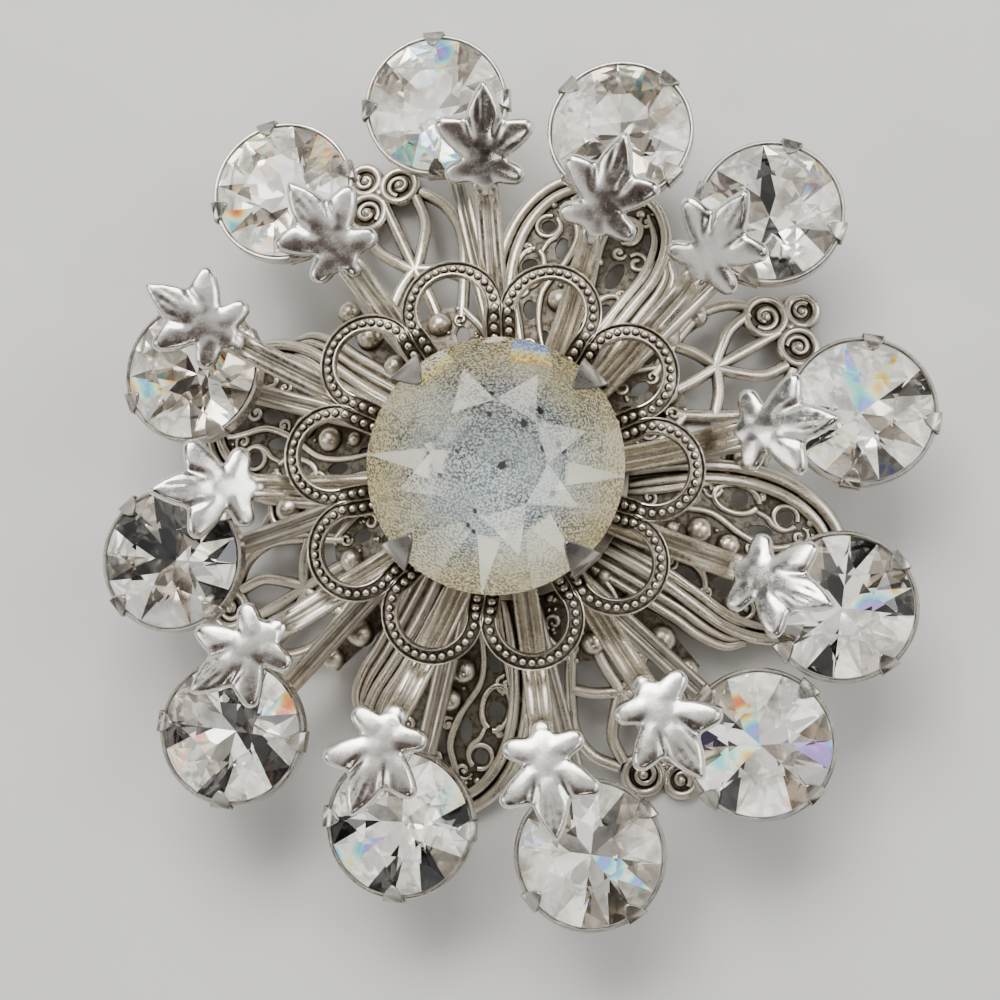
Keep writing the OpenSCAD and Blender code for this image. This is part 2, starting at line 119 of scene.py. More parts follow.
# The filigree
HUB_R = 7.5
LOBE_REACH = 25.4
REST_CUT = 0.25
DOME_BULGE = 0.25
SHEET_T = 0.6
ARM_HUB_R = 8.8
PAD_R = 2.6
LOBE_TURN = 72
TIE_TURN = 27
RAIL_FLATNESS = 0.9
# One row for each volute cluster: angle, reach
CLUSTER_ROWS = [(29.5, 25.8), (114, 27.8), (205, 25.9), (297, 25.4)]

# The collar
PETALS = 10
PETAL_TURN = 104.5
PETAL_R = 3.05
PETAL_CENTRE = 11.3
PETAL_HINGE = 10.75
PETAL_DROOP = 4
PETAL_HALF_ARC = 104
BAND_LEAN = 0.36
COLLAR_SHIFT = (-0.45, 0.45)
# Where the beads start, and from bead to bead in radii
BEADS_FROM = 6.8
BEAD_PITCH = 2.3


def shift(x, y=0.0, z=0.0):
    return Matrix.Translation((x, y, z))


def turn(degrees, axis="Z"):
    return Matrix.Rotation(math.radians(degrees), 4, axis)


def middle_of_stones():
    """Where the layers' common middle lies, so that the outline is centred on the origin."""
    xs = [reach * math.cos(math.radians(angle)) for angle, reach, _, _ in RIM_ROWS]
    ys = [reach * math.sin(math.radians(angle)) for angle, reach, _, _ in RIM_ROWS]
    return Vector((-0.16 - (max(xs) + min(xs)) / 2, -0.11 - (max(ys) + min(ys)) / 2, 0))


MIDDLE = middle_of_stones()
AT_MIDDLE = Matrix.Translation(MIDDLE)


UP = Vector((0, 0, 1))


def at_rim(row):
    """Place of an outer stone's girdle, leaning as its arm does and turned as its claws are."""
    angle, reach, spin, lean = row
    return (AT_MIDDLE @ turn(angle) @ shift(reach, 0, RIM_Z) @ turn(lean, "Y")
            @ turn(spin - angle))


# ---- Modelling helpers


def unique(items):
    """Each item once, in the order in which they come, so that every run is the same."""
    return list(dict.fromkeys(items))


def as_mesh(bm, name="master"):
    """Turns a finished bmesh into a mesh that can be stamped many times."""
    bmesh.ops.recalc_face_normals(bm, faces=bm.faces[:])
    mesh = bpy.data.meshes.new(name)
    bm.to_mesh(mesh)
    bm.free()
    return mesh


def stamp(bm, mesh, place):
    """Adds a placed copy of a master mesh."""
    copy = mesh.copy()
    copy.transform(place)
    bm.from_mesh(copy)
    bpy.data.meshes.remove(copy)


def show(name, data):
    """Puts a new object in the scene."""
    made = bpy.data.objects.new(name, data)
    bpy.context.scene.collection.objects.link(made)
    return made


def finish_piece(bm, name, materials, node, sharp=40):
    """Scales a piece to metres, shades it, and makes it stand for its CAD node."""
    bmesh.ops.recalc_face_normals(bm, faces=bm.faces[:])
    bmesh.ops.scale(bm, vec=(MM, MM, MM), verts=bm.verts[:])
    for face in bm.faces:
        face.smooth = True
    mesh = bpy.data.meshes.new(name)
    bm.to_mesh(mesh)
    bm.free()
    mesh.set_sharp_from_angle(angle=math.radians(sharp))
    for material in materials:
        mesh.materials.append(material)
    piece = show(name, mesh)
    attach(piece, BODY)
    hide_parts(node)
    return piece


def smooth_path(points, steps=6):
    """A path that runs smoothly through the points, with steps between each two."""
    points = [Vector(p) for p in points]
    ends = [points[0] * 2 - points[1]] + points + [points[-1] * 2 - points[-2]]
    path = []
    for a, b, c, d in zip(ends, ends[1:], ends[2:], ends[3:]):
        for k in range(steps):
            t = k / steps
            path.append(0.5 * (2 * b + (c - a) * t + (2 * a - 5 * b + 4 * c - d) * t * t
                               + (3 * b - a - 3 * c + d) * t ** 3))
    path.append(points[-1])
    return path


def along(path, ups, sizes=None):
    """Places along a path: Z runs forward, Y is up and X across, each scaled by its size."""
    places = []
    for i, point in enumerate(path):
        ahead = (path[min(i + 1, len(path) - 1)] - path[max(i - 1, 0)]).normalized()
        up = ups[i] if isinstance(ups, list) else ups
        across = up.cross(ahead).normalized()
        lift = ahead.cross(across)
        size = sizes[i] if sizes else 1
        axes = Matrix((across * size, lift * size, ahead)).transposed().to_4x4()
        places.append(Matrix.Translation(point) @ axes)
    return places


def sweep(bm, ring, places):
    """Extrudes a ring of points from place to place, and closes its ends with a face."""
    verts = [bm.verts.new(places[0] @ Vector((x, y, 0))) for x, y in ring]
    edges = [bm.edges.new((verts[i], verts[(i + 1) % len(verts)])) for i in range(len(verts))]
    bm.faces.new(verts)
    for before, after in zip(places, places[1:]):
        made = bmesh.ops.extrude_edge_only(bm, edges=edges)["geom"]
        new = {g for g in made if isinstance(g, bmesh.types.BMVert)}
        edges = [g for g in made if isinstance(g, bmesh.types.BMEdge)
                 and g.verts[0] in new and g.verts[1] in new]
        step = after @ before.inverted()
        bmesh.ops.transform(bm, matrix=step, verts=list(new))
    bmesh.ops.contextual_create(bm, geom=edges)


def ball(radius, u=8, v=6):
    bm = bmesh.new()
    bmesh.ops.create_uvsphere(bm, u_segments=u, v_segments=v, radius=radius)
    return as_mesh(bm, "ball")


def disc(bm, radius, low, high, place=Matrix(), segments=64):
    """A round plate with eased edges."""
    made = bmesh.ops.create_cone(
        bm, cap_ends=True, segments=segments, radius1=radius, radius2=radius,
        depth=high - low, matrix=place @ shift(0, 0, (low + high) / 2))
    rims = unique(e for v in made["verts"] for e in v.link_edges
                  if any(len(f.verts) > 4 for f in e.link_faces))
    bmesh.ops.bevel(bm, geom=rims, offset=DISC_EASE, offset_type="OFFSET", segments=2,
                    profile=0.5, affect="EDGES", material=-1)


# ---- Stones


def ring_point(radius, degrees, z):
    a = math.radians(degrees)
    return Vector((radius * math.cos(a), radius * math.sin(a), z))


def facet(bm, a, b, c, finish):
    """Grinds one facet through three points on a stone: what lies beyond it goes."""
    normal = (b - a).cross(c - a).normalized()
    if normal.dot(a) < 0:
        normal = -normal
    geom = bm.verts[:] + bm.edges[:] + bm.faces[:]
    bmesh.ops.bisect_plane(bm, geom=geom, dist=0.002, plane_co=a, plane_no=normal,
                           clear_outer=True)
    rim = [e for e in bm.edges if e.is_boundary]
    if rim:
        bmesh.ops.edgeloop_fill(bm, edges=rim, mat_nr=finish)


def faceted_stone(d):
    """A round stone about its girdle's middle: glass crown (0) over a foiled back (1)."""
    r = d / 2
    half = GIRDLE_SHARE * r
    crown = CROWN_SHARE * d
    back = PAVILION_SHARE * d
    table_r = TABLE_SHARE * r
    star_r = 0.75 * r
    flat = math.cos(math.radians(22.5))
    star_z = half + crown * (r - star_r * flat) / (r - table_r)
    back_r = 0.3 * r
    back_z = -half - back * (1 - back_r * flat / r)
    bm = bmesh.new()
    bmesh.ops.create_cone(bm, cap_ends=True, segments=96, radius1=r, radius2=r,
                          depth=2 * (half + back) + 2)
    top = half + crown
    facet(bm, ring_point(1, 0, top), ring_point(1, 90, top), ring_point(1, 180, top), 0)
    culet = Vector((0, 0, -half - back))
    for i in range(8):
        a = 45 * i
        facet(bm, ring_point(r, a, half), ring_point(star_r, a - 22.5, star_z),
              ring_point(star_r, a + 22.5, star_z), 0)
        facet(bm, culet, ring_point(back_r, a - 22.5, back_z),
              ring_point(back_r, a + 22.5, back_z), 1)
    for i in range(8):
        a = 45 * i
        facet(bm, ring_point(table_r, a, top), ring_point(table_r, a + 45, top),
              ring_point(star_r, a + 22.5, star_z), 0)
        for side in (-1, 1):
            facet(bm, ring_point(star_r, a + 22.5, star_z),
                  ring_point(r, a + 22.5, half),
                  ring_point(r, a + 22.5 + side * 22.5, half), 0)
            facet(bm, ring_point(back_r, a + 22.5, back_z),
                  ring_point(r, a + 22.5, -half),
                  ring_point(r, a + 22.5 + side * 22.5, -half), 1)
    bmesh.ops.remove_doubles(bm, verts=bm.verts[:], dist=0.004)
    bmesh.ops.dissolve_degenerate(bm, dist=0.002, edges=bm.edges[:])
    bm.normal_update()
    for face in bm.faces:
        if abs(face.normal.z) < 0.2:
            face.material_index = 1
    return as_mesh(bm, "stone")


def place_stone(name, mesh, place, glass, foil, tones, fires=()):
    """Sets a stone in its place. Each facet of its back takes a painted tone from the list, the
    eight main ones first, and those that the second list counts show painted fire. The crown's
    facets, all but the table, differ a little too, as painted shade."""
    bm = bmesh.new()
    bm.from_mesh(mesh)
    tone = bm.faces.layers.float.new("facet_tone")
    fire = bm.faces.layers.float.new("facet_fire")
    lowest = min(vert.co.z for vert in bm.verts)

    def order(face):
        middle = face.calc_center_median()
        main = any(vert.co.z < lowest + 0.01 for vert in face.verts)
        around = math.degrees(math.atan2(middle.y, middle.x)) % 360
        return (not main, abs(face.normal.z) < 0.2, round(around, 1))

    backs = sorted((face for face in bm.faces if face.material_index == 1), key=order)
    for i, face in enumerate(backs):
        face[tone] = GIRDLE_TONE if order(face)[1] else tones[i % len(tones)]
        face[fire] = 1.0 if i in fires else 0.0
    crown = sorted((face for face in bm.faces if face.material_index == 0), key=order)
    for i, face in enumerate(crown):
        face[tone] = 0.9 if face.normal.z > 0.99 else CROWN_TONES[i % len(CROWN_TONES)]
    bmesh.ops.transform(bm, matrix=place, verts=bm.verts[:])
    piece = finish_piece(bm, name + "_cut", [glass, foil], name)
    for face in piece.data.polygons:
        face.use_smooth = False
    return piece


# ---- Cups


def strap(bm, rows, thickness, place=Matrix()):
    """A strip of sheet bent along +X: rows of reach, height and half width of its outside."""
    x, z, w = rows[0]
    ends = [bm.verts.new((x, -w, z)), bm.verts.new((x, w, z))]
    edge = bm.edges.new(ends)
    strip = list(ends)
    for x, z, w in rows[1:]:
        made = bmesh.ops.extrude_edge_only(bm, edges=[edge])["geom"]
        new = [g for g in made if isinstance(g, bmesh.types.BMVert)]
        for vert in new:
            vert.co = (x, w if vert.co.y > 0 else -w, z)
        edge = next(g for g in made if isinstance(g, bmesh.types.BMEdge)
                    and g.verts[0] in new and g.verts[1] in new)
        strip += new
    faces = unique(f for v in strip for f in v.link_faces)
    bmesh.ops.recalc_face_normals(bm, faces=faces)
    known = set(bm.verts)
    bmesh.ops.solidify(bm, geom=faces, thickness=thickness)
    strip += [v for v in bm.verts if v not in known]
    shell = unique(f for v in strip for f in v.link_faces)
    bmesh.ops.recalc_face_normals(bm, faces=shell)
    rims = [e for e in unique(e for f in shell for e in f.edges)
            if e.is_manifold and e.calc_face_angle(0) > math.radians(50)]
    made = bmesh.ops.bevel(bm, geom=rims, offset=thickness * 0.22, offset_type="OFFSET",
                           segments=1, profile=0.5, affect="EDGES", material=-1)
    strip = unique([v for v in strip if v.is_valid] + list(made["verts"]))
    bmesh.ops.transform(bm, matrix=place, verts=strip)


def wall_ring(bm, r_in, r_out, low, high):
    """The cup's wall: a rounded section spun full circle."""
    ease = (r_out - r_in) * 0.35
    section = [(r_in, low), (r_out, low), (r_out, high - ease), (r_out - ease, high),
               (r_in + ease, high), (r_in, high - ease)]
    verts = [bm.verts.new((x, 0, z)) for x, z in section]
    edges = [bm.edges.new((verts[i], verts[(i + 1) % 6])) for i in range(6)]
    bmesh.ops.spin(bm, geom=verts + edges, cent=(0, 0, 0), axis=(0, 0, 1),
                   angle=math.tau, steps=96, use_merge=True)


def cup_floor_z(d):
    """Height of a cup's underside from its stone's girdle."""
    return -(PAVILION_SHARE + GIRDLE_SHARE / 2) * d - POINT_ROOM - CUP_FLOOR_T


def claw_cup(d, wall_in, wall_top, wall_h, floor_r, claw_w, claw_reach, shank_r, rivet_len):
    """A four-claw cup about the middle of its stone's girdle."""
    r = d / 2
    half = GIRDLE_SHARE * r
    floor_z = cup_floor_z(d)
    wall_out = wall_in + CUP_SHEET
    claw_out = r + SEAT_GAP + CUP_SHEET
    tip = claw_out + CUP_SHEET - claw_reach
    # The claws follow the crown's slope, and stand a little above it
    steep = 0.76
    lift = 0.36
    bm = bmesh.new()
    wall_ring(bm, wall_in, wall_out, -wall_h, wall_top)
    disc(bm, floor_r, floor_z, floor_z + CUP_FLOOR_T)
    disc(bm, shank_r, floor_z - rivet_len, floor_z + CUP_FLOOR_T / 2, segments=24)
    w = claw_w / 2
    out = claw_out + CUP_SHEET - 0.06

    def crown(x):
        return half + (r - x) * steep + lift

    rows = [
        (floor_r - 0.1, floor_z + CUP_FLOOR_T / 2, w * 0.8),
        (wall_out - 0.35, -wall_h - 0.35, w * 0.82),
        (claw_out + 0.02, -wall_h + 0.05, w * 0.86), (out, -wall_h * 0.55, w * 1.05),
        (out, half - 0.1, w * 1.08), (out - 0.08, half + 0.2, w),
        (r + 0.02, crown(r), w * 0.86), ((r + tip) / 2, crown((r + tip) / 2), w * 0.5),
        (tip + 0.12, crown(tip + 0.12), w * 0.13)]
    for i in range(4):
        strap(bm, rows, CLAW_SHEET, turn(90 * i))
    return as_mesh(bm, "cup")


# ---- Leaves


def lump(bm, place, sizes, aim=0.0):
    """One soft ellipsoid of the wax model, aimed in plan."""
    bmesh.ops.create_uvsphere(
        bm, u_segments=24, v_segments=16, radius=1,
        matrix=shift(*place) @ turn(aim) @ Matrix.Diagonal((*sizes, 1)))


def soften(bm):
    bmesh.ops.smooth_vert(bm, verts=bm.verts[:], factor=0.5, use_axis_x=True,
                          use_axis_y=True, use_axis_z=True)


def fuse(bm, voxel, rounds):
    """Fuses the wax lumps to one skin and softens their joins."""
    mesh = as_mesh(bm, "wax")
    wax = show("wax", mesh)
    remesh = wax.modifiers.new("Fuse", "REMESH")
    remesh.mode = "VOXEL"
    remesh.voxel_size = voxel
    remesh.use_smooth_shade = True
    graph = bpy.context.evaluated_depsgraph_get()
    skin = bpy.data.meshes.new_from_object(wax.evaluated_get(graph))
    bpy.data.objects.remove(wax)
    bpy.data.meshes.remove(mesh)
    bm = bmesh.new()
    bm.from_mesh(skin)
    bpy.data.meshes.remove(skin)
    for _ in range(rounds):
        soften(bm)
    return bm


def leaf_lobe(bm, base, tip, wide, narrow, high):
    """A lobe that tapers from its base to its tip: a row of overlapping lumps."""
    base, tip = Vector(base), Vector(tip)
    ahead = (tip - base).normalized()
    end = tip - ahead * narrow
    aim = math.degrees(math.atan2(ahead.y, ahead.x))
    for i in range(6):
        t = i / 5
        r = wide + (narrow - wide) * t ** 1.6
        lump(bm, base.lerp(end, t), (r * 1.1, r, high * (1 - 0.3 * t * t)), aim=aim)


PLATEAU_Z = 0.46


def five_lobe_leaf(voxel):
    """The cast leaf along +X from its stem: a flat satin body, two small base lobes, two
    larger side lobes and a long middle lobe with light scores."""
    bm = bmesh.new()
    lump(bm, (1.8, 0, 0.1), (2.6, 1.65, 0.78))
    lump(bm, (-0.1, 0, 0.0), (1.25, 0.95, 0.42))
    for side in (-1, 1):
        leaf_lobe(bm, (0.9, side * 0.8, 0.08), (0.2, side * 2.8, 0.02), 1.0, 0.86, 0.78)
        leaf_lobe(bm, (2.8, side * 0.9, 0.08), (4.05, side * 3.45, -0.06), 1.35, 0.76, 0.82)
    leaf_lobe(bm, (3.5, 0, 0.1), (7.0, 0, -0.14), 1.5, 0.36, 0.84)
    bm = fuse(bm, voxel, 3)
    for vert in bm.verts:
        x, y, z = vert.co
        if z < 0:
            vert.co.z = z * 0.55
            continue
        # The plateau, the dips that part the middle lobe from the side lobes, and its scores
        z = min(z, PLATEAU_Z + 0.45 * (z - PLATEAU_Z))
        dip = (abs(y) - 0.3 * x) / 0.3
        apart = min(1, max(0, (x - 2.4) / 1.2)) * min(1, max(0, (5.2 - x))) * math.exp(-dip * dip)
        run = min(1, max(0, (x - 4.0) / 0.9)) * min(1, max(0, (6.3 - x) / 1.0))
        score = (abs(y) - 0.3) / 0.14
        vert.co.z = z - 0.16 * apart - 0.06 * run * math.exp(-score * score)
    soften(bm)
    return as_mesh(bm, "leaf")


# A stem's section: a flat bar with one groove between two soft ridges along its top
STEM_RING = [(-0.82, -0.08), (-0.66, -0.34), (0.66, -0.34), (0.82, -0.08), (0.82, 0.1),
             (0.74, 0.24), (0.58, 0.33), (0.4, 0.35), (0.24, 0.3), (0.12, 0.2), (0.05, 0.13),
             (-0.05, 0.13), (-0.12, 0.2), (-0.24, 0.3), (-0.4, 0.35), (-0.58, 0.33),
             (-0.74, 0.24), (-0.82, 0.1)]


def ribbed_bars(paths, sizes):
    """Grooved bars along the paths, in the second finish of the spray or the frame."""
    bm = bmesh.new()
    for path, size in zip(paths, sizes):
        sweep(bm, STEM_RING, along(path, UP, size))
    for face in bm.faces:
        face.material_index = 1
    return as_mesh(bm, "bars")


def build_spray(finish, stem_finish, voxel):
    bm = bmesh.new()
    leaf = five_lobe_leaf(voxel)
    disc(bm, SPRAY_HUB_R, SPRAY_Z, SPRAY_Z + PLATE_T, AT_MIDDLE)
    paths, sizes = [], []
    for angle, reach, twist, rise in LEAF_ROWS:
        low = SPRAY_Z + PLATE_T / 2
        bends = [(4.9, 0, low), (7.2, 0, low + 0.3), (9.6, 0, low + 0.8),
                 (12, 0, low + 1.6), (14.2, 0, low + 2.8), (reach - 1.8, 0, LEAF_Z - 1.3),
                 (reach - 0.5, 0, LEAF_Z - 0.15), (reach + 0.7, 0, LEAF_Z + 0.05)]
        out = AT_MIDDLE @ turn(angle)
        paths.append([out @ p for p in smooth_path(bends, 5)])
        # Each stem widens on its way out, and narrows a little before its leaf
        sizes.append([0.75 + 0.45 * min(1, i / 9) - 0.08 * min(1, max(0, (i - 12) / 16))
                      for i in range(len(paths[-1]))])
        stamp(bm, leaf, out @ shift(reach, 0, LEAF_Z) @ turn(twist) @ turn(-rise, "Y"))
    bm.from_mesh(ribbed_bars(paths, sizes))
    finish_piece(bm, "cast_leaf_spray", [finish, stem_finish], "leaf_spray", 60)


# ---- Frame of arms


def build_arms(finish):
    """The star of twelve arms. Each comes down from under a leaf's stem to the rim of a cup's
    pad, and then runs level inside the pad, clear of the cup's floor."""
    bm = bmesh.new()
    disc(bm, ARM_HUB_R, FRAME_Z, FRAME_Z + PLATE_T, AT_MIDDLE)
    pad_z = cup_floor_z(RIM_D) - SEAT_GAP - PLATE_T
    in_pad = UP * (pad_z + PLATE_T / 2)
    in_hub = Vector((ARM_HUB_R - 0.6, 0, FRAME_Z + PLATE_T / 2))
    paths = []
    for row, leaf_row in zip(RIM_ROWS, LEAF_ROWS):
        place = at_rim(row)
        disc(bm, PAD_R, pad_z, pad_z + PLATE_T, place)
        middle = place @ in_pad
        start = AT_MIDDLE @ turn(leaf_row[0]) @ in_hub
        inwards = place.inverted() @ start
        inwards.z = 0
        rim = place @ (inwards.normalized() * (PAD_R + 0.15) + in_pad)
        paths.append([start.lerp(rim, i / 8) for i in range(9)]
                     + [rim.lerp(middle, i / 5) for i in range(1, 4)])
    bm.from_mesh(ribbed_bars(paths, [[0.95] * 12] * len(paths)))
    finish_piece(bm, "ribbed_arms", [finish, finish], "cup_frame", 45)


# ---- Collar


def petal_path():
    """Middle line and up direction of one petal's band, about the collar's middle with the
    petal on +X: in from the hub, round the loop and back."""
    tilt = (shift(PETAL_HINGE, 0, COLLAR_RIM_Z) @ turn(PETAL_DROOP, "Y")
            @ shift(PETAL_CENTRE - PETAL_HINGE))
    loop, loop_ups = [], []
    for i in range(37):
        a = math.radians(-PETAL_HALF_ARC + i * PETAL_HALF_ARC / 18)
        out = Vector((math.cos(a), math.sin(a), 0))
        loop.append(tilt @ (out * PETAL_R))
        lean = BAND_LEAN * max(0, math.cos(a * 0.8))
        loop_ups.append((tilt.to_3x3() @ (out * lean + UP)).normalized())
    # The leg's middle line: reach, offset and height, beside the next petal's leg
    leg = [turn(-18) @ Vector(point) for point in (
        (5.0, 0.36, 8.7), (6.4, 0.44, 9.55), (8.0, 0.5, 10.6), (9.3, 0.53, 11.5),
        (10.2, 0.54, 12.15))]
    start = smooth_path(leg + [loop[0]], 4)[:-1]
    steep = Vector((-0.5, 0, 0.86))
    start_ups = [steep.lerp(loop_ups[0], min(1, i / 17)).normalized() for i in range(len(start))]
    far = [Vector((p.x, -p.y, p.z)) for p in reversed(start)]
    far_ups = [Vector((u.x, -u.y, u.z)) for u in reversed(start_ups)]
    return start + loop + far, start_ups + loop_ups + far_ups


def build_collar(finish, bead_r):
    bm = bmesh.new()
    disc(bm, COLLAR_HUB_R, COLLAR_Z, COLLAR_Z + COLLAR_T, AT_MIDDLE)
    path, ups = petal_path()
    # A band with a raised rail along each edge and a sunk channel for the beads
    section = [(-0.58, -0.24), (0.58, -0.24), (0.61, 0.12), (0.57, 0.22), (0.51, 0.24),
               (0.46, 0.18), (0.42, -0.02), (-0.42, -0.02), (-0.46, 0.18), (-0.51, 0.24),
               (-0.57, 0.22), (-0.61, 0.12)]
    bead = ball(1, 10, 7)
    places = along(path, ups)
    tongue = [(4.6, 8.3, 0.5), (6.4, 9.37, 0.62), (8.0, 10.42, 0.75), (9.3, 11.32, 0.85),
              (10.4, 12.1, 0.9), (11.3, 12.45, 0.85)]
    for i in range(PETALS):
        out = AT_MIDDLE @ shift(*COLLAR_SHIFT) @ turn(PETAL_TURN + i * 360 / PETALS)
        sweep(bm, section, [out @ p for p in places])
        strap(bm, tongue, 0.25, out @ turn(18))
        done = 0.35
        for k, (near, far) in enumerate(zip(path, path[1:])):
            step = (far - near).length
            reach = math.hypot(near.x, near.y)
            grow = 1 + 0.2 * min(1, max(0, (12 - reach) / 1.5))
            while done <= step:
                if reach > BEADS_FROM:
                    place = places[k].copy()
                    place.translation = near.lerp(far, done / step) + ups[k] * 0.04
                    stamp(bm, bead, out @ place @ Matrix.Scale(bead_r * grow, 4))
                done += bead_r * grow * BEAD_PITCH
            done -= step
    finish_piece(bm, "beaded_collar", [finish], "scalloped_collar", 35)


# ---- Filigree


class Relief:
    """A part of the domed sheet, drawn in plan along +X: sheet, rails and domes."""

    def __init__(self, reach=LOBE_REACH):
        self.bm = bmesh.new()
        self.reach = reach

    def on_dome(self, x, y, lift=0.0):
        share = max(0.0, (math.hypot(x, y) - HUB_R) / (self.reach - HUB_R))
        bulge = DOME_BULGE * math.sin(math.pi * min(share, 1))
        height = max(0.0, DOME_Z - (DOME_Z + REST_CUT) * share + bulge)
        return Vector((x, y, height + lift))

    def rail(self, points, radius, lift=SHEET_T, taper=0.0, steps=5):
        """A raised rail through points of the plan."""
        plan = smooth_path([(x, y, 0) for x, y in points], steps)
        path = [self.on_dome(p.x, p.y, lift) for p in plan]
        n = len(path) - 1
        sizes = [max(0.12, 1 - taper * abs(2 * i / n - 1) ** 2.5) for i in range(n + 1)]
        ring = [(radius * math.cos(a), radius * math.sin(a) * RAIL_FLATNESS)
                for a in (math.tau * i / 8 for i in range(8))]
        sweep(self.bm, ring, along(path, UP, sizes))

    def sheet(self, outline, openings, thickness=SHEET_T):
        """A sheet with openings, cut into cells so that it can follow the dome. Its top has
        the second finish, a darker ground whose darkness is antiquing and painted shade."""
        part = bmesh.new()
        edges = []
        for ring in [outline] + openings:
            verts = [part.verts.new((x, y, 0)) for x, y in ring]
            edges += [part.edges.new((verts[i], verts[(i + 1) % len(verts)]))
                      for i in range(len(verts))]
        bmesh.ops.triangle_fill(part, use_beauty=True, use_dissolve=False, edges=edges)
        for axis in (Vector((1, 0, 0)), Vector((0, 1, 0))):
            for step in range(-14, 30, 2):
                geom = part.verts[:] + part.edges[:] + part.faces[:]
                bmesh.ops.bisect_plane(part, geom=geom, dist=0.001, plane_co=axis * step,
                                       plane_no=axis)
        bmesh.ops.solidify(part, geom=part.faces[:], thickness=thickness)
        zs = [v.co.z for v in part.verts]
        mid = (max(zs) + min(zs)) / 2
        for face in part.faces:
            face.material_index = int(all(vert.co.z > mid for vert in face.verts))
        for vert in part.verts:
            vert.co = self.on_dome(vert.co.x, vert.co.y, thickness if vert.co.z > mid else 0)
        mesh = as_mesh(part, "sheet")
        self.bm.from_mesh(mesh)
        bpy.data.meshes.remove(mesh)

    def dome(self, dot, x, y, radius, lift=SHEET_T - 0.1):
        place = Matrix.Translation(self.on_dome(x, y, lift))
        stamp(self.bm, dot, place @ Matrix.Scale(radius, 4))

    def done(self):
        return as_mesh(self.bm, "relief")


def inset(points, amount):
    """The same run of plan points, moved to its right-hand side by one amount or a list."""
    path = [Vector((x, y, 0)) for x, y in points]
    amounts = amount if isinstance(amount, list) else [amount] * len(path)
    moved = []
    for i, p in enumerate(path):
        ahead = (path[min(i + 1, len(path) - 1)] - path[max(i - 1, 0)]).normalized()
        moved.append((p.x + ahead.y * amounts[i], p.y - ahead.x * amounts[i]))
    return moved


def smooth_ring(points):
    return [(p.x, p.y) for p in smooth_path([(x, y, 0) for x, y in points], 3)]


def oval(x, y, radius, stretch=1.0, aim=0.0, count=16):
    """Plan points of a round or long opening or ring."""
    a0 = math.radians(aim)
    points = []
    for i in range(count):
        a = math.tau * i / count
        along_it, across = radius * stretch * math.cos(a), radius * math.sin(a)
        points.append((x + along_it * math.cos(a0) - across * math.sin(a0),
                       y + along_it * math.sin(a0) + across * math.cos(a0)))
    return points


def spiral(x, y, radius, start, turns, tight=0.25):
    """Plan points that wind in from a volute's outside to its eye."""
    count = int(12 * abs(turns))
    points = []
    for i in range(count + 1):
        t = i / count
        a = math.radians(start) + math.tau * turns * t
        r = radius * (1 - (1 - tight) * t)
        points.append((x + r * math.cos(a), y + r * math.sin(a)))
    return points


LOBE_EDGE = [(8, 3.2), (10.6, 4.5), (13.4, 5.6), (16.6, 6.3), (19.8, 6.2), (22.6, 5.1),
             (24.4, 3.2), (25.1, 0.9), (24.8, -1.8), (23.5, -3.9), (21.2, -5.2), (18.2, -5.3),
             (15.2, -4.4), (12, -3.4), (8, -2.6)]
# Openings of a lobe: x, y, radius, stretch, aim
LOBE_OPENINGS = [
    (16.3, 3.95, 0.66, 1, 0), (19.9, 3.75, 0.56, 1, 0), (18.4, 2.15, 0.5, 1.9, 12),
    (12.9, 2.75, 0.5, 1.7, 26), (22.2, 1.3, 0.6, 1.6, -50), (23.5, -1.3, 0.45, 1.8, 95),
    (19.6, 0.3, 0.55, 1.8, 5), (17.4, -2.4, 0.62, 1.9, -8), (14.2, -2.5, 0.5, 1.8, -14),
    (11.6, -1.9, 0.45, 1.6, -14), (20.9, -3.9, 0.45, 1.8, 20), (11, 1, 0.42, 1.6, 10)]
# Rails of a lobe: points, radius, taper of the ends
LOBE_RAILS = [
    (LOBE_EDGE[:9], 0.54, 0.1), (inset(LOBE_EDGE[:8], 0.98), 0.5, 0.4),
    (LOBE_EDGE[8:], 0.5, 0.1), (inset(LOBE_EDGE[9:], 0.88), 0.4, 0.6),
    ([(8.2, 1.7), (10.6, 2.7), (12.8, 3.9), (14.2, 4.5)], 0.4, 0.4),
    (oval(16.1, 3.9, 1.05, 1.6, 6), 0.25, 0),
    ([(17.7, 3.5), (18.6, 3.3), (19.2, 2.9), (20, 2.8), (20.8, 3.3)], 0.24, 0.3),
    (oval(19.9, 3.75, 0.9, 1, 0, 12), 0.22, 0),
    ([(9.2, 0.1), (12, 1.7), (14.6, 2.3), (17.2, 1.5), (19.6, 1.3), (21.4, 2.2),
      (22.7, 2.7), (23.6, 1.8)], 0.3, 0.5),
    ([(9.4, -0.8), (12.6, -1), (15.6, -1.1), (18.6, -0.7), (20.8, -0.7), (22.2, -1.6),
      (21.9, -2.9), (20.6, -3), (20.2, -2.2), (20.8, -1.8)], 0.3, 0.45),
    ([(13, -1.2), (15.2, -2), (15.8, -3.1), (15, -3.7)], 0.26, 0.5),
    (spiral(18.9, -3.7, 0.85, 60, -1.2), 0.22, 0.2),
    ([(22.6, -0.6), (23.2, 0.4), (22.6, 1)], 0.24, 0.5)]
LOBE_DOMES = [(14.2, 0.8, 1.02), (16.5, 0.4, 0.95), (12.3, 0.3, 0.6), (18.1, -0.9, 0.4),
              (21.7, 4, 0.36), (17.9, 4.6, 0.3), (22.9, -2.6, 0.42), (10.4, -0.3, 0.5)]

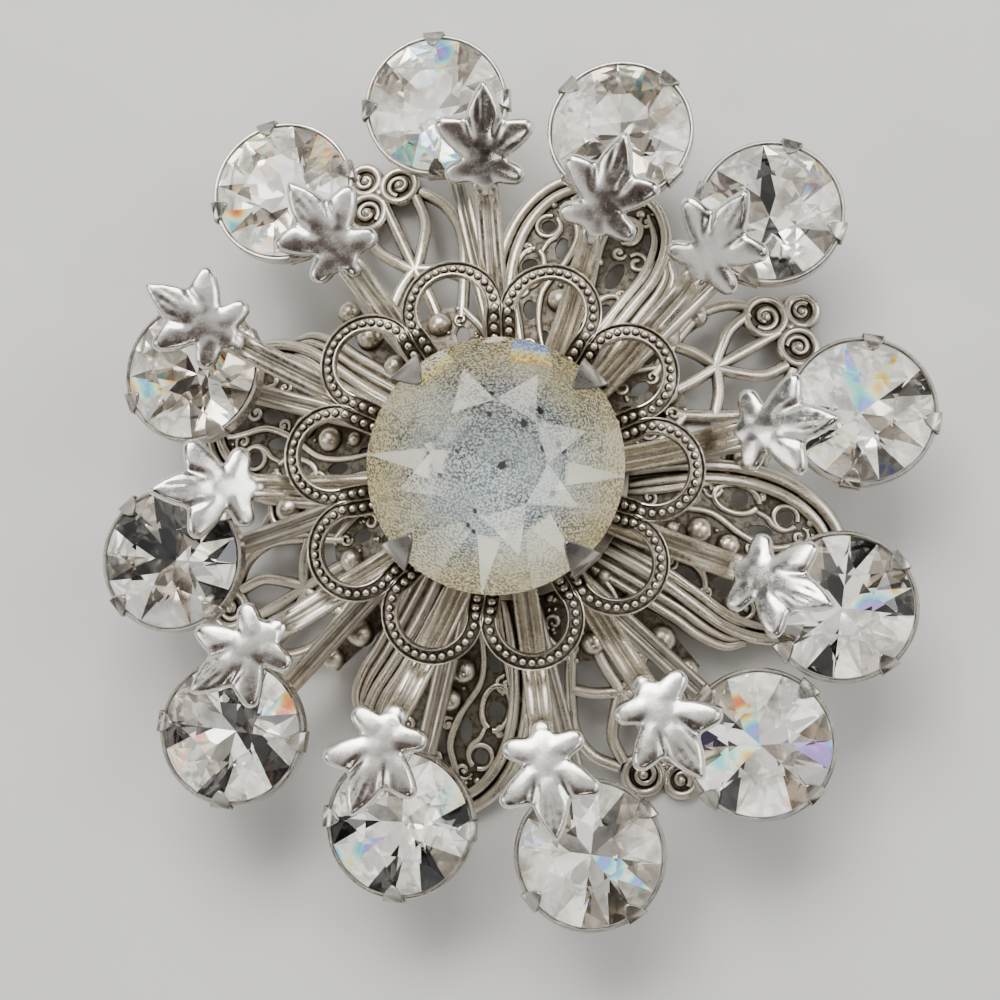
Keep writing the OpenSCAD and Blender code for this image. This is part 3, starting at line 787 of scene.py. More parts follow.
# Small curls in relief on a lobe: x, y, radius, start, turns
LOBE_CURLS = [(14.3, 4.1, 0.75, 200, 1.1), (21.3, 2.75, 0.7, 90, -1.1),
              (21, 0.4, 0.62, 0, 1), (17.7, 4.75, 0.55, 120, 1),
              (12.9, -2.15, 0.55, 30, -1.1), (15.9, -3.35, 0.62, 180, 1.1),
              (10.1, 1.9, 0.6, 240, 1.1), (22.4, -3.2, 0.5, 60, 1),
              (19.3, -2.1, 0.55, 270, -1), (18.3, 0.75, 0.5, 150, 1)]


def lobe(dot, grain):
    """One broad lobe of the base."""
    part = Relief()
    part.sheet(smooth_ring(inset(LOBE_EDGE, 0.3)), [oval(*row) for row in LOBE_OPENINGS])
    for points, radius, taper in LOBE_RAILS:
        part.rail(points, radius, SHEET_T + (0.1 if radius > 0.4 else 0.02), taper)
    for x, y, radius in LOBE_DOMES:
        part.dome(dot, x, y, radius)
    for x, y, radius, start, turns in LOBE_CURLS:
        part.rail(spiral(x, y, radius, start, turns), 0.19, SHEET_T + 0.02, 0.3)
        part.dome(grain, x, y, 0.26)
    # Grains strewn over the sheet, clear of the openings
    luck = random.Random(4)
    for _ in range(46):
        x, y = luck.uniform(9.5, 23.8), luck.uniform(-3.6, 4.4)
        if all(math.hypot(x - row[0], y - row[1]) > 0.4 + row[2] * row[3]
               for row in LOBE_OPENINGS):
            part.dome(grain, x, y, luck.uniform(0.14, 0.24), SHEET_T)
    return part.done()


# The volutes of a cluster: x, y, radius, start and turns of the inner scroll
VOLUTES = [(22.3, 1.8, 1.75, 205, 1.1), (23.3, -1.35, 1.65, 150, -1.1),
           (24.95, 0.95, 1.42, 20, 1)]


def volute_cluster(dot, grain, reach):
    """Three volutes on a clover-shaped sheet, carried by forked wires."""
    part = Relief(reach)

    def out(points):
        return [(x + (reach - LOBE_REACH) * min(1, max(0, (x - 13) / 9)), y)
                for x, y in points]

    part.sheet(smooth_ring([(7.2, -2.6), (10.5, -3.2), (13.4, -2.4), (14.4, 0), (13.4, 2.4),
                            (10.5, 3.2), (7.2, 2.6)]),
               [oval(9.9, 0, 0.6), oval(11.7, 1.25, 0.5, 1.5, 12),
                oval(11.7, -1.25, 0.5, 1.5, -12)])
    for points in (
            [(12.6, 0), (15.0, -0.1), (17.3, 0.1)],
            [(17.1, 0.1), (18.4, 1.3), (19.6, 2.2), (21.3, 2.6)],
            [(17.1, 0.1), (18.6, -1.2), (20.0, -2.1), (21.8, -2.2)],
            [(13.0, 1.7), (15.6, 3.2), (18.2, 4.3), (20.4, 4.0), (21.6, 3.0)],
            [(13.0, -1.7), (15.6, -3.2), (18.2, -4.3), (20.4, -4.0), (22.0, -2.7)],
            [(15.4, 3.1), (16.5, 1.7), (17.3, 0.1)], [(15.4, -3.1), (16.5, -1.7), (17.3, 0.1)],
            [(17.1, 0.1), (19.6, 0.2), (22.6, 0.3)]):
        part.rail(out(points), 0.47, lift=0.4)
    part.sheet(oval(*out([(23.3, 0.3)])[0], 1.0, 1, 0, 24), [], 0.5)
    part.dome(dot, *out([(23.45, 0.3)])[0], 0.5, 0.3)
    for x, y, radius, start, turns in VOLUTES:
        (x, y), = out([(x, y)])
        ring = oval(x, y, radius - 0.3, 1, 0, 18)
        part.sheet(oval(x, y, radius - 0.1, 1, 0, 24), [], 0.45)
        part.rail(ring + ring[:1], 0.36, lift=0.5, steps=2)
        part.rail(spiral(x, y, radius - 0.74, start, turns, 0.3), 0.25, lift=0.56, steps=2)
        part.dome(dot, x, y, radius * 0.24, 0.6)
    for side in (-1, 1):
        part.rail([(8.4, side * 2.4), (11, side * 2.9), (13.6, side * 2.1)], 0.36, taper=0.3)
    # What the foot of the cluster carries: domes, curls and grains
    for x, y, radius in ((13.2, 0, 0.95), (8.9, 1.3, 0.4), (8.9, -1.3, 0.4)):
        part.dome(dot, x, y, radius)
    for side in (-1, 1):
        part.rail(spiral(10.6, side * 1.9, 0.62, side * 60, side * 1.1), 0.2, SHEET_T, 0.3)
        part.rail(spiral(12.9, side * 1.6, 0.5, side * 200, side * 1.1), 0.18, SHEET_T, 0.3)
    luck = random.Random(9)
    for _ in range(26):
        x, y = luck.uniform(8.4, 13.8), luck.uniform(-2.3, 2.3)
        if math.hypot(x - 9.9, y) > 0.9 and math.hypot(x - 11.7, abs(y) - 1.25) > 0.95:
            part.dome(grain, x, y, luck.uniform(0.16, 0.27), SHEET_T)
    return part.done()


def ribbed_tie(dot):
    """The broad ribbed band, and its row of domes, from a cluster's foot to the next lobe."""
    part = Relief()
    middle = [(7.8, 3.4), (11.0, 5.4), (13.6, 7.0), (15.6, 8.0), (17.0, 9.0), (17.6, 10.1)]
    shares = [1, 1, 1, 0.95, 0.8, 0.5]
    part.sheet(inset(middle, [-1.3 * w for w in shares])
               + inset(middle, [1.3 * w for w in shares])[::-1], [], 0.74)
    for off in (-1.2, -0.4, 0.4, 1.2):
        part.rail(inset(middle, [off * w for w in shares]), 0.42, lift=0.55, taper=0.2)
    for x, y, radius in ((9.3, 2.8, 0.7), (12.0, 3.75, 0.95), (15.2, 4.5, 1.1),
                         (18.0, 5.1, 0.9)):
        part.dome(dot, x, y, radius, 0.35)
    row = [(8.8, 2.7), (12.0, 3.75), (15.2, 4.5), (18.4, 5.2)]
    part.sheet(inset(row, -0.9) + inset(row, 0.75)[::-1], [], 0.4)
    return part.done()


def mirror_tie(dot):
    """The plain curved tie with its ringed dome on the cluster's other side."""
    part = Relief()
    part.sheet(oval(15.9, -6.4, 1.85, 1, 0, 24), [], 0.5)
    part.rail(oval(15.9, -6.4, 1.55) + [(17.45, -6.4)], 0.28)
    part.dome(dot, 15.9, -6.4, 1.12, 0.35)
    part.rail([(8.2, -3.2), (11.4, -4.4), (14.4, -5.7)], 0.48, lift=0.4)
    part.rail([(17.3, -6.9), (18.4, -6.3), (19.4, -5.2)], 0.36, lift=0.4)
    return part.done()


def build_filigree(finish, ground):
    bm = bmesh.new()
    dot, grain = ball(1, 20, 12), ball(1, 8, 6)
    disc(bm, HUB_R + 0.6, DOME_Z, DOME_Z + SHEET_T, AT_MIDDLE)
    for master, start in ((lobe(dot, grain), LOBE_TURN), (ribbed_tie(dot), TIE_TURN),
                          (mirror_tie(dot), TIE_TURN)):
        for i in range(4):
            stamp(bm, master, AT_MIDDLE @ turn(start + 90 * i))
    for angle, reach in CLUSTER_ROWS:
        stamp(bm, volute_cluster(dot, grain, reach), AT_MIDDLE @ turn(angle))
    for vert in bm.verts:
        vert.co.z = max(vert.co.z, 0)
    finish_piece(bm, "pierced_filigree", [finish, ground], "filigree_base",
                 50)


# ---- Node groups


def sockets(group, side, rows):
    for name, kind, value in rows:
        socket = group.interface.new_socket(name=name, in_out=side, socket_type=kind)
        if value is not None and hasattr(socket, "default_value"):
            socket.default_value = value


def fill(tree, node, inputs):
    """Links a node's inputs, or sets them."""
    for name, value in inputs.items():
        if isinstance(value, bpy.types.NodeSocket):
            tree.links.new(value, node.inputs[name])
        else:
            node.inputs[name].default_value = value
    return node


def add(tree, kind, inputs=None, **settings):
    """Adds a node with its options and inputs."""
    node = tree.nodes.new(kind)
    for name, value in settings.items():
        setattr(node, name, value)
    return fill(tree, node, inputs or {})


def math_node(tree, operation, a, b=0.0, clamp=False):
    return add(tree, "ShaderNodeMath", {0: a, 1: b}, operation=operation,
               use_clamp=clamp).outputs[0]


def times(tree, a, b, clamp=False):
    return math_node(tree, "MULTIPLY", a, b, clamp)


def plus(tree, a, b, clamp=False):
    return math_node(tree, "ADD", a, b, clamp)


def on_object(tree):
    """Places on the object itself, so that no pattern slides."""
    return add(tree, "ShaderNodeTexCoord").outputs["Object"]


def noise(tree, place, scale, detail=2.0, roughness=0.5):
    return add(tree, "ShaderNodeTexNoise", {
        "Vector": place, "Scale": scale, "Detail": detail,
        "Roughness": roughness}).outputs["Fac"]


def facet_value(tree, name):
    return add(tree, "ShaderNodeAttribute", attribute_name=name).outputs["Fac"]


def ramp(tree, value, low, high, to_low=0.0, to_high=1.0):
    return add(tree, "ShaderNodeMapRange", {
        "Value": value, "From Min": low, "From Max": high,
        "To Min": to_low, "To Max": to_high}, clamp=True).outputs["Result"]


def blend_colours(tree, share, a, b):
    return add(tree, "ShaderNodeMix", {0: share, 6: a, 7: b}, data_type="RGBA").outputs[2]


def new_group(name, inputs, outputs):
    group = bpy.data.node_groups.new(name, "ShaderNodeTree")
    sockets(group, "INPUT", inputs)
    sockets(group, "OUTPUT", outputs)
    return group, group.nodes.new("NodeGroupInput"), group.nodes.new("NodeGroupOutput")


def antique_and_shade_group():
    """Dark polish left in hollows, and rubbed bright on what stands proud. The darkening in the
    hollows is partly antiquing and partly painted shade.
    """
    group, ins, outs = new_group(
        "Antique and painted shade",
        [("Depth", "NodeSocketFloat", 0.0008), ("Amount", "NodeSocketFloat", 1.0),
         ("Patch Scale", "NodeSocketFloat", 700.0), ("Film", "NodeSocketFloat", 0.22)],
        [("Mask", "NodeSocketFloat", None)])
    shade = add(group, "ShaderNodeAmbientOcclusion", {"Distance": ins.outputs["Depth"]},
                samples=6)
    # Hollows that ambient occlusion finds are darkened: antiquing, and painted shade where shade
    # falls
    hollow = ramp(group, shade.outputs["AO"], 0.92, 0.45)
    patch = noise(group, on_object(group), ins.outputs["Patch Scale"], 4.0, 0.65)
    patchy = times(group, hollow, ramp(group, patch, 0.25, 0.6, 0.55, 1.15))
    film = times(group, ramp(group, patch, 0.46, 0.68), ins.outputs["Film"])
    mask = times(group, plus(group, patchy, film), ins.outputs["Amount"], True)
    fill(group, outs, {"Mask": mask})
    return group


def casting_group():
    """Fine unevenness of a cast and tumbled metal skin."""
    group, ins, outs = new_group(
        "Cast skin",
        [("Grain Scale", "NodeSocketFloat", 2500.0), ("Ripple Scale", "NodeSocketFloat", 500.0)],
        [("Height", "NodeSocketFloat", None), ("Gloss Change", "NodeSocketFloat", None)])
    place = on_object(group)
    ripple = noise(group, place, ins.outputs["Ripple Scale"])
    grain = noise(group, place, ins.outputs["Grain Scale"], 5.0, 0.7)
    fill(group, outs, {
        "Height": plus(group, times(group, ripple, 0.8), times(group, grain, 0.35)),
        "Gloss Change": math_node(group, "SUBTRACT", plus(group, ripple, grain), 1.0)})
    return group


def fire_group():
    """Painted fire: spectrum colour that runs across a facet, from red through white to blue."""
    group, ins, outs = new_group(
        "Facet fire", [("Scale", "NodeSocketFloat", 450.0), ("Strength", "NodeSocketFloat", 1.0)],
        [("Colour", "NodeSocketColor", None), ("Mask", "NodeSocketFloat", None)])
    run = noise(group, on_object(group), ins.outputs["Scale"], 0.0)
    fill(group, outs, {
        "Colour": colour_steps(group, ramp(group, run, 0.28, 0.72), FIRE_STOPS),
        "Mask": times(group, facet_value(group, "facet_fire"), ins.outputs["Strength"], True)})
    return group


# Colours over a facet that shows painted fire, and over the foil's painted tones from dark to
# bright
FIRE_STOPS = [(0.0, (0.85, 0.16, 0.05, 1)), (0.2, (1.0, 0.55, 0.08, 1)),
              (0.38, (0.95, 1.0, 0.45, 1)), (0.52, (1.0, 1.0, 1.0, 1)),
              (0.66, (0.25, 1.0, 0.75, 1)), (0.84, (0.2, 0.45, 1.0, 1)),
              (1.0, (0.55, 0.35, 0.95, 1))]
TONE_STOPS = [(0.0, (0.04, 0.04, 0.045, 1)), (0.3, (0.22, 0.21, 0.205, 1)),
              (0.6, (0.66, 0.58, 0.48, 1)), (0.8, (0.80, 0.77, 0.70, 1)),
              (1.0, (1.0, 0.985, 0.93, 1))]


GROUPS = {}


def group_node(tree, make, inputs):
    """Places a node group, which is made the first time that a material asks for it."""
    if make not in GROUPS:
        GROUPS[make] = make()
    return add(tree, "ShaderNodeGroup", inputs, node_tree=GROUPS[make])


def new_material(name):
    material = bpy.data.materials.new(name)
    material.use_nodes = True
    tree = material.node_tree
    return material, tree, tree.nodes["Principled BSDF"]


def rgba(colour, strength=1.0):
    """A colour for a socket, darkened by its strength."""
    return (*(c * strength for c in colour[:3]), 1.0)


BLACK = (0, 0, 0, 1)
HOLLOW_ROUGHNESS = 0.5


def metal(name, bright, dark, gloss, depth=0.0008, amount=1.0, bump=0.000004, grain=2500.0,
          patch=700.0, film=0.16):
    """Warm silver-plated metal with dark antiquing in its hollows, which also stands in for the
    shade there as painted shade.
    """
    material, tree, shader = new_material(name)
    age_and_shade = group_node(tree, antique_and_shade_group, {
        "Depth": depth, "Amount": amount, "Patch Scale": patch, "Film": film}).outputs["Mask"]
    skin = group_node(tree, casting_group, {"Grain Scale": grain, "Ripple Scale": grain / 5})
    rough = ramp(tree, age_and_shade, 0, 1, gloss, HOLLOW_ROUGHNESS)
    change = times(tree, skin.outputs["Gloss Change"], 0.35)
    relief = add(tree, "ShaderNodeBump", {
        "Height": skin.outputs["Height"], "Distance": bump, "Strength": 1.0})
    # The colour darkens in the hollows: antiquing and painted shade
    fill(tree, shader, {
        "Base Color": blend_colours(tree, age_and_shade, rgba(bright), rgba(dark)), "Metallic": 1.0,
        "Roughness": plus(tree, rough, change, True), "Normal": relief.outputs["Normal"]})
    return material


def crown_glass(name, tint, least):
    """Clear lead glass with painted shade on its crown: each facet's painted tone dims it, down
    to its least brightness on the darkest facets. The foil behind it is a material of its own."""
    material, tree, shader = new_material(name)
    # Patches that dim the painted facet shade further
    dimming_patches = noise(tree, on_object(tree), 300.0, 4.0)
    clear = math_node(tree, "SUBTRACT", facet_value(tree, "facet_tone"),
                      ramp(tree, dimming_patches, 0.45, 0.7, 0, 0.15), True)
    fill(tree, shader, {
        "Base Color": blend_colours(tree, clear, rgba(tint, least), rgba(tint)),
        "Metallic": 0.0, "Transmission Weight": 1.0, "IOR": 1.62, "Roughness": 0.0})
    return material


def colour_steps(tree, value, rows):
    """A colour ramp with a stop for each row."""
    node = add(tree, "ShaderNodeValToRGB", {"Fac": value})
    stops = node.color_ramp.elements
    for spot, colour in rows[1:-1]:
        stops.new(spot).color = colour
    stops[0].color, stops[-1].color = rows[0][1], rows[-1][1]
    return node.outputs["Color"]


def stone_foil(name):
    """Silver foil behind a clear stone, with painted reflections: each facet has its own painted
    tone, a few show painted fire, and the bright ones glow.
    """
    material, tree, shader = new_material(name)
    fire = group_node(tree, fire_group, {"Scale": 430.0, "Strength": 0.95})
    flash = fire.outputs["Mask"]
    cloud = noise(tree, on_object(tree), 520.0, 5.0, 0.6)
    # The painted facet tone, dimmed in cloudy patches of wear
    tone_and_wear = math_node(tree, "SUBTRACT", facet_value(tree, "facet_tone"),
                     ramp(tree, cloud, 0.5, 0.75, 0, 0.22), True)
    colour = blend_colours(tree, flash, colour_steps(tree, tone_and_wear, TONE_STOPS),
                           fire.outputs["Colour"])
    # The bright facets and the fire glow: painted light
    lit = math_node(tree, "MAXIMUM", ramp(tree, tone_and_wear, 0.55, 1.0), flash)
    fill(tree, shader, {
        "Base Color": colour, "Metallic": ramp(tree, flash, 0.0, 0.9, 0.95, 0.4),
        "Roughness": ramp(tree, cloud, 0.45, 0.75, 0.02, 0.18),
        "Emission Color": blend_colours(tree, lit, BLACK, colour), "Emission Strength": 0.75})
    return material


# Prism bands of painted light on the centre stone's foil: x, y, turn, half width, half height
# (millimetres), and the colours from the band's lower edge to its upper
PRISM_BANDS = [
    (2.35, 7.45, -8, 1.35, 1.15,
     [(0.0, (0.92, 0.42, 0.06, 1)), (0.25, (1.0, 0.72, 0.08, 1)), (0.5, (1.0, 0.97, 0.55, 1)),
      (0.62, (0.42, 0.60, 1.0, 1)), (1.0, (0.24, 0.34, 0.9, 1))]),
    (-4.2, 6.75, 34, 1.4, 0.95,
     [(0.0, (0.95, 0.72, 0.12, 1)), (0.4, (1.0, 0.92, 0.35, 1)), (1.0, (1.0, 0.98, 0.85, 1))])]
# How much brighter than a shining facet a band is
BAND_SHINE = 1.6
# Pits in the centre stone's foil: x, y, radius (millimetres)
FOIL_PITS = [(0.3, 0.2, 0.36), (3.3, 1.25, 0.28), (1.95, 3.0, 0.32), (3.0, -1.4, 0.3),
             (-0.45, 3.7, 0.24), (-1.5, -3.1, 0.2)]


def worn_foil_and_glints(name):
    """The centre stone's foil: speckled blue-grey, yellow towards the edge, with pits, painted
    glints on facets beyond the table, two painted prism bands and a painted glow."""
    material, tree, shader = new_material(name)
    object_place = on_object(tree)
    place = add(tree, "ShaderNodeMapping", {
        "Vector": object_place, "Location": (-MIDDLE.x * MM, -MIDDLE.y * MM, 0)}).outputs[0]
    flat = add(tree, "ShaderNodeVectorMath", {0: place, 1: (1, 1, 0)}, operation="MULTIPLY")
    reach = add(tree, "ShaderNodeVectorMath", {0: flat.outputs[0]}, operation="LENGTH")
    wobble = times(tree, noise(tree, object_place, 260.0, 3.0), 0.003)
    out = ramp(tree, plus(tree, reach.outputs["Value"], wobble), 0.0052, 0.0094)
    base = blend_colours(tree, out, (0.60, 0.70, 0.77, 1), (0.98, 0.83, 0.43, 1))
    # Painted glints: the facets beyond the table that are painted bright cream
    lit = times(tree, facet_value(tree, "facet_tone"),
                ramp(tree, reach.outputs["Value"], 0.0034, 0.0038))
    base = blend_colours(tree, lit, base, (1.0, 0.98, 0.84, 1))
    shine = lit
    for x, y, turned, half_w, half_h, colours in PRISM_BANDS:
        local = add(tree, "ShaderNodeMapping", {
            "Vector": flat.outputs[0], "Location": (x * MM, y * MM, 0),
            "Rotation": (0, 0, math.radians(turned)), "Scale": (half_w * MM, half_h * MM, 1)},
            vector_type="TEXTURE")
        parts = add(tree, "ShaderNodeSeparateXYZ", {"Vector": local.outputs[0]})
        across = ramp(tree, math_node(tree, "ABSOLUTE", parts.outputs["X"]), 1.0, 0.9)
        up = ramp(tree, math_node(tree, "ABSOLUTE", parts.outputs["Y"]), 1.0, 0.8)
        band = times(tree, across, up)
        base = blend_colours(tree, band, base,
                             colour_steps(tree, ramp(tree, parts.outputs["Y"], -1, 1), colours))
        shine = math_node(tree, "MAXIMUM", shine, times(tree, band, BAND_SHINE))
    # Dark specks, denser in patches and thinner on the bright facets, then pale ones
    speck = noise(tree, object_place, 5600.0, 2.0, 0.55)
    patch = noise(tree, object_place, 420.0, 4.0)
    dense = times(tree, ramp(tree, patch, 0.35, 0.65, 0.45, 1.0),
                  ramp(tree, lit, 0.0, 1.0, 1.0, 0.4))
    colour = blend_colours(tree, times(tree, ramp(tree, speck, 0.475, 0.55), dense), base,
                           (0.07, 0.072, 0.066, 1))
    colour = blend_colours(tree, ramp(tree, speck, 0.47, 0.36, 0, 0.65), colour,
                           (1.0, 1.0, 0.94, 1))
    ragged_edge = times(tree, noise(tree, object_place, 3500.0), 0.0004)
    for x, y, radius in FOIL_PITS:
        away = add(tree, "ShaderNodeVectorMath", {0: flat.outputs[0], 1: (x * MM, y * MM, 0)},
                   operation="DISTANCE").outputs["Value"]
        edge = (radius + 0.2) * MM
        colour = blend_colours(
            tree, ramp(tree, plus(tree, away, ragged_edge), edge, edge * 0.8), colour,
            (0.03, 0.03, 0.035, 1))
    # The whole foil glows a little, and the glints and prism bands glow most: painted light
    shown = ramp(tree, shine, 0.0, BAND_SHINE, 0.12, 1.0)
    fill(tree, shader, {
        "Base Color": colour, "Metallic": 0.4,
        "Roughness": ramp(tree, speck, 0.4, 0.6, 0.42, 0.65),
        "Emission Color": blend_colours(tree, shown, BLACK, colour),
        "Emission Strength": 0.62})
    return material


# ---- What a user may change


class BroochSizes(bpy.types.PropertyGroup):
    bead: FloatProperty(
        name="Collar bead", description="Radius of the small beads along the collar",
        default=0.00028, min=0.00015, max=0.00033, precision=5, unit="LENGTH")
    leaf_voxel: FloatProperty(
        name="Leaf detail", description="Size of the smallest detail kept on the leaves",
        default=0.00014, min=0.0001, max=0.0003, precision=5, unit="LENGTH")
    camera_distance: FloatProperty(
        name="Camera distance", description="From the camera to the brooch",
        default=0.14, min=0.05, max=1.0, unit="LENGTH")
    camera_tilt: FloatProperty(
        name="Camera tilt", description="How far the camera stands off the upright",
        default=math.radians(10), min=0.0, max=1.5, unit="ROTATION")


COLOUR = {"subtype": "COLOR", "size": 3, "min": 0, "max": 1}


class BroochColours(bpy.types.PropertyGroup):
    silver: FloatVectorProperty(
        name="Silver", description="Bright metal of the leaves",
        default=(0.86, 0.835, 0.79), **COLOUR)
    old_silver: FloatVectorProperty(
        name="Old silver", description="Metal of the filigree and the collar",
        default=(0.80, 0.74, 0.63), **COLOUR)
    pewter: FloatVectorProperty(
        name="Pewter", description="Metal of the claws and cups",
        default=(0.58, 0.55, 0.50), **COLOUR)
    # Dark colour of the hollows: antiquing, and painted shade there too
    antique_and_shade: FloatVectorProperty(
        name="Antiquing", description="Dark polish in the hollows",
        default=(0.062, 0.046, 0.028), **COLOUR)
    floor: FloatVectorProperty(
        name="Floor", description="Pale floor under the brooch",
        default=(0.72, 0.72, 0.71), **COLOUR)


class BroochStep:
    """What every step that builds the brooch shares."""
    bl_options = {"REGISTER", "UNDO"}


class BROOCH_OT_rim_stones(BroochStep, bpy.types.Operator):
    """Cuts the twelve outer stones and backs them with foil"""
    bl_idname = "brooch.rim_stones"
    bl_label = "Outer stones"

    def execute(self, context):
        master = faceted_stone(RIM_D)
        glass = crown_glass("outer_stone_glass", (1.0, 1.0, 0.995), 0.66)
        foil = stone_foil("outer_stone_foil")
        luck = random.Random(11)
        for i, row in enumerate(RIM_ROWS):
            # Each stone's foil facets take painted tones, as painted reflections, and a few show
            # painted fire
            least = LEAST_TONES[i]
            tones = [least + (1 - least) * luck.choice(FACET_TONES)
                     for _ in range(TONES_DRAWN)]
            fires = set(luck.sample(range(BACK_FACETS), FIRE_FACETS[i]))
            place_stone("stone_%02d" % (i + 1), master, at_rim(row) @ turn(22.5), glass, foil,
                        tones, fires)
        return {"FINISHED"}


class BROOCH_OT_centre_stone(BroochStep, bpy.types.Operator):
    """Cuts the centre stone over its worn foil, which has painted glints"""
    bl_idname = "brooch.centre_stone"
    bl_label = "Centre stone"

    def execute(self, context):
        place = AT_MIDDLE @ shift(0, 0, CENTRE_Z) @ turn(TABLE_SPIN)
        place_stone("centre_stone", faceted_stone(CENTRE_D), place,
                    crown_glass("centre_stone_glass", (0.99, 0.99, 0.975), 0.8),
                    worn_foil_and_glints("centre_stone_foil"), CENTRE_TONES)
        return {"FINISHED"}


class BROOCH_OT_cups(BroochStep, bpy.types.Operator):
    """Builds the claw cups of all the stones"""
    bl_idname = "brooch.cups"
    bl_label = "Claw cups"

    def execute(self, context):
        colours = context.scene.brooch_colours
        finish = metal("claw_pewter", colours.pewter, colours.antique_and_shade, gloss=0.26,
                       depth=0.0006, amount=0.7)
        master = claw_cup(RIM_D, wall_in=RIM_D / 2 + SEAT_GAP, wall_top=0.145, wall_h=1.0,
                          floor_r=2.4, claw_w=1.5, claw_reach=1.45, shank_r=0.6,
                          rivet_len=1.12)
        for i, row in enumerate(RIM_ROWS):
            bm = bmesh.new()
            stamp(bm, master, at_rim(row))
            name = "stone_cup_%02d" % (i + 1)
            finish_piece(bm, name + "_claws", [finish], name, 35)
        bm = bmesh.new()
        large = claw_cup(CENTRE_D, wall_in=CENTRE_D / 2 - 0.4, wall_top=-0.5, wall_h=1.5,
                         floor_r=3.6, claw_w=2.4, claw_reach=2.2, shank_r=1.5, rivet_len=3.3)
        stamp(bm, large, AT_MIDDLE @ shift(0, 0, CENTRE_Z) @ turn(CENTRE_SPIN))
        dull = metal("centre_claw_pewter", rgba(colours.pewter, 0.62), colours.antique_and_shade,
                     gloss=0.3)
        finish_piece(bm, "centre_cup_claws", [dull], "centre_cup", 35)
        return {"FINISHED"}


class BROOCH_OT_leaves(BroochStep, bpy.types.Operator):
    """Casts the spray of twelve leaves on their stems"""
    bl_idname = "brooch.leaves"
    bl_label = "Leaf spray"

    def execute(self, context):
        colours = context.scene.brooch_colours
        finish = metal("leaf_silver", colours.silver, colours.antique_and_shade, gloss=0.215,
                       depth=0.001, amount=0.8, bump=0.00001, grain=6500.0)
        stems = metal("stem_old_silver", rgba(colours.old_silver, 0.95), colours.antique_and_shade,
                      gloss=0.26, amount=1.25, grain=3000.0)
        build_spray(finish, stems, context.scene.brooch_sizes.leaf_voxel / MM)
        return {"FINISHED"}


class BROOCH_OT_collar(BroochStep, bpy.types.Operator):
    """Builds the scalloped collar with its rails and beads"""
    bl_idname = "brooch.collar"
    bl_label = "Beaded collar"

    def execute(self, context):
        colours = context.scene.brooch_colours
        finish = metal("collar_old_silver", colours.old_silver, colours.antique_and_shade, gloss=0.25,
                       depth=0.0005, amount=1.3)
        build_collar(finish, context.scene.brooch_sizes.bead / MM)
        return {"FINISHED"}


class BROOCH_OT_filigree(BroochStep, bpy.types.Operator):
    """Builds the pierced, domed filigree base"""
    bl_idname = "brooch.filigree"
    bl_label = "Filigree base"

    def execute(self, context):
        colours = context.scene.brooch_colours
        finish = metal("filigree_old_silver", colours.old_silver, colours.antique_and_shade, gloss=0.28,
                       depth=0.0013, amount=1.1, bump=0.00003, grain=1800.0)
        # The ground between the rails is darkened: antiquing, and painted shade in the hollows
        ground = metal("filigree_ground", rgba(colours.old_silver, 0.24), colours.antique_and_shade,
                       gloss=0.42, depth=0.0022, amount=1.3, bump=0.0001, grain=2600.0,
                       patch=2400.0, film=0.9)
        build_filigree(finish, ground)
        return {"FINISHED"}


class BROOCH_OT_frame(BroochStep, bpy.types.Operator):
    """Builds the star of arms, and finishes the pin, whose frame shape stays as it is"""
    bl_idname = "brooch.frame"
    bl_label = "Arms and pin"

    def execute(self, context):
        colours = context.scene.brooch_colours
        # The arms are darkened so that they read as shadowed metal: painted shade, with antiquing
        # in the hollows
        build_arms(metal("arm_old_silver_shaded", rgba(colours.old_silver, 0.62), colours.antique_and_shade,
                         gloss=0.32, depth=0.0012, amount=1.3))
        finish = metal("pin_pewter", colours.pewter, colours.antique_and_shade, gloss=0.32, depth=0.0012)
        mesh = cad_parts["pin_back"].data
        mesh.materials.clear()
        mesh.materials.append(finish)
        return {"FINISHED"}


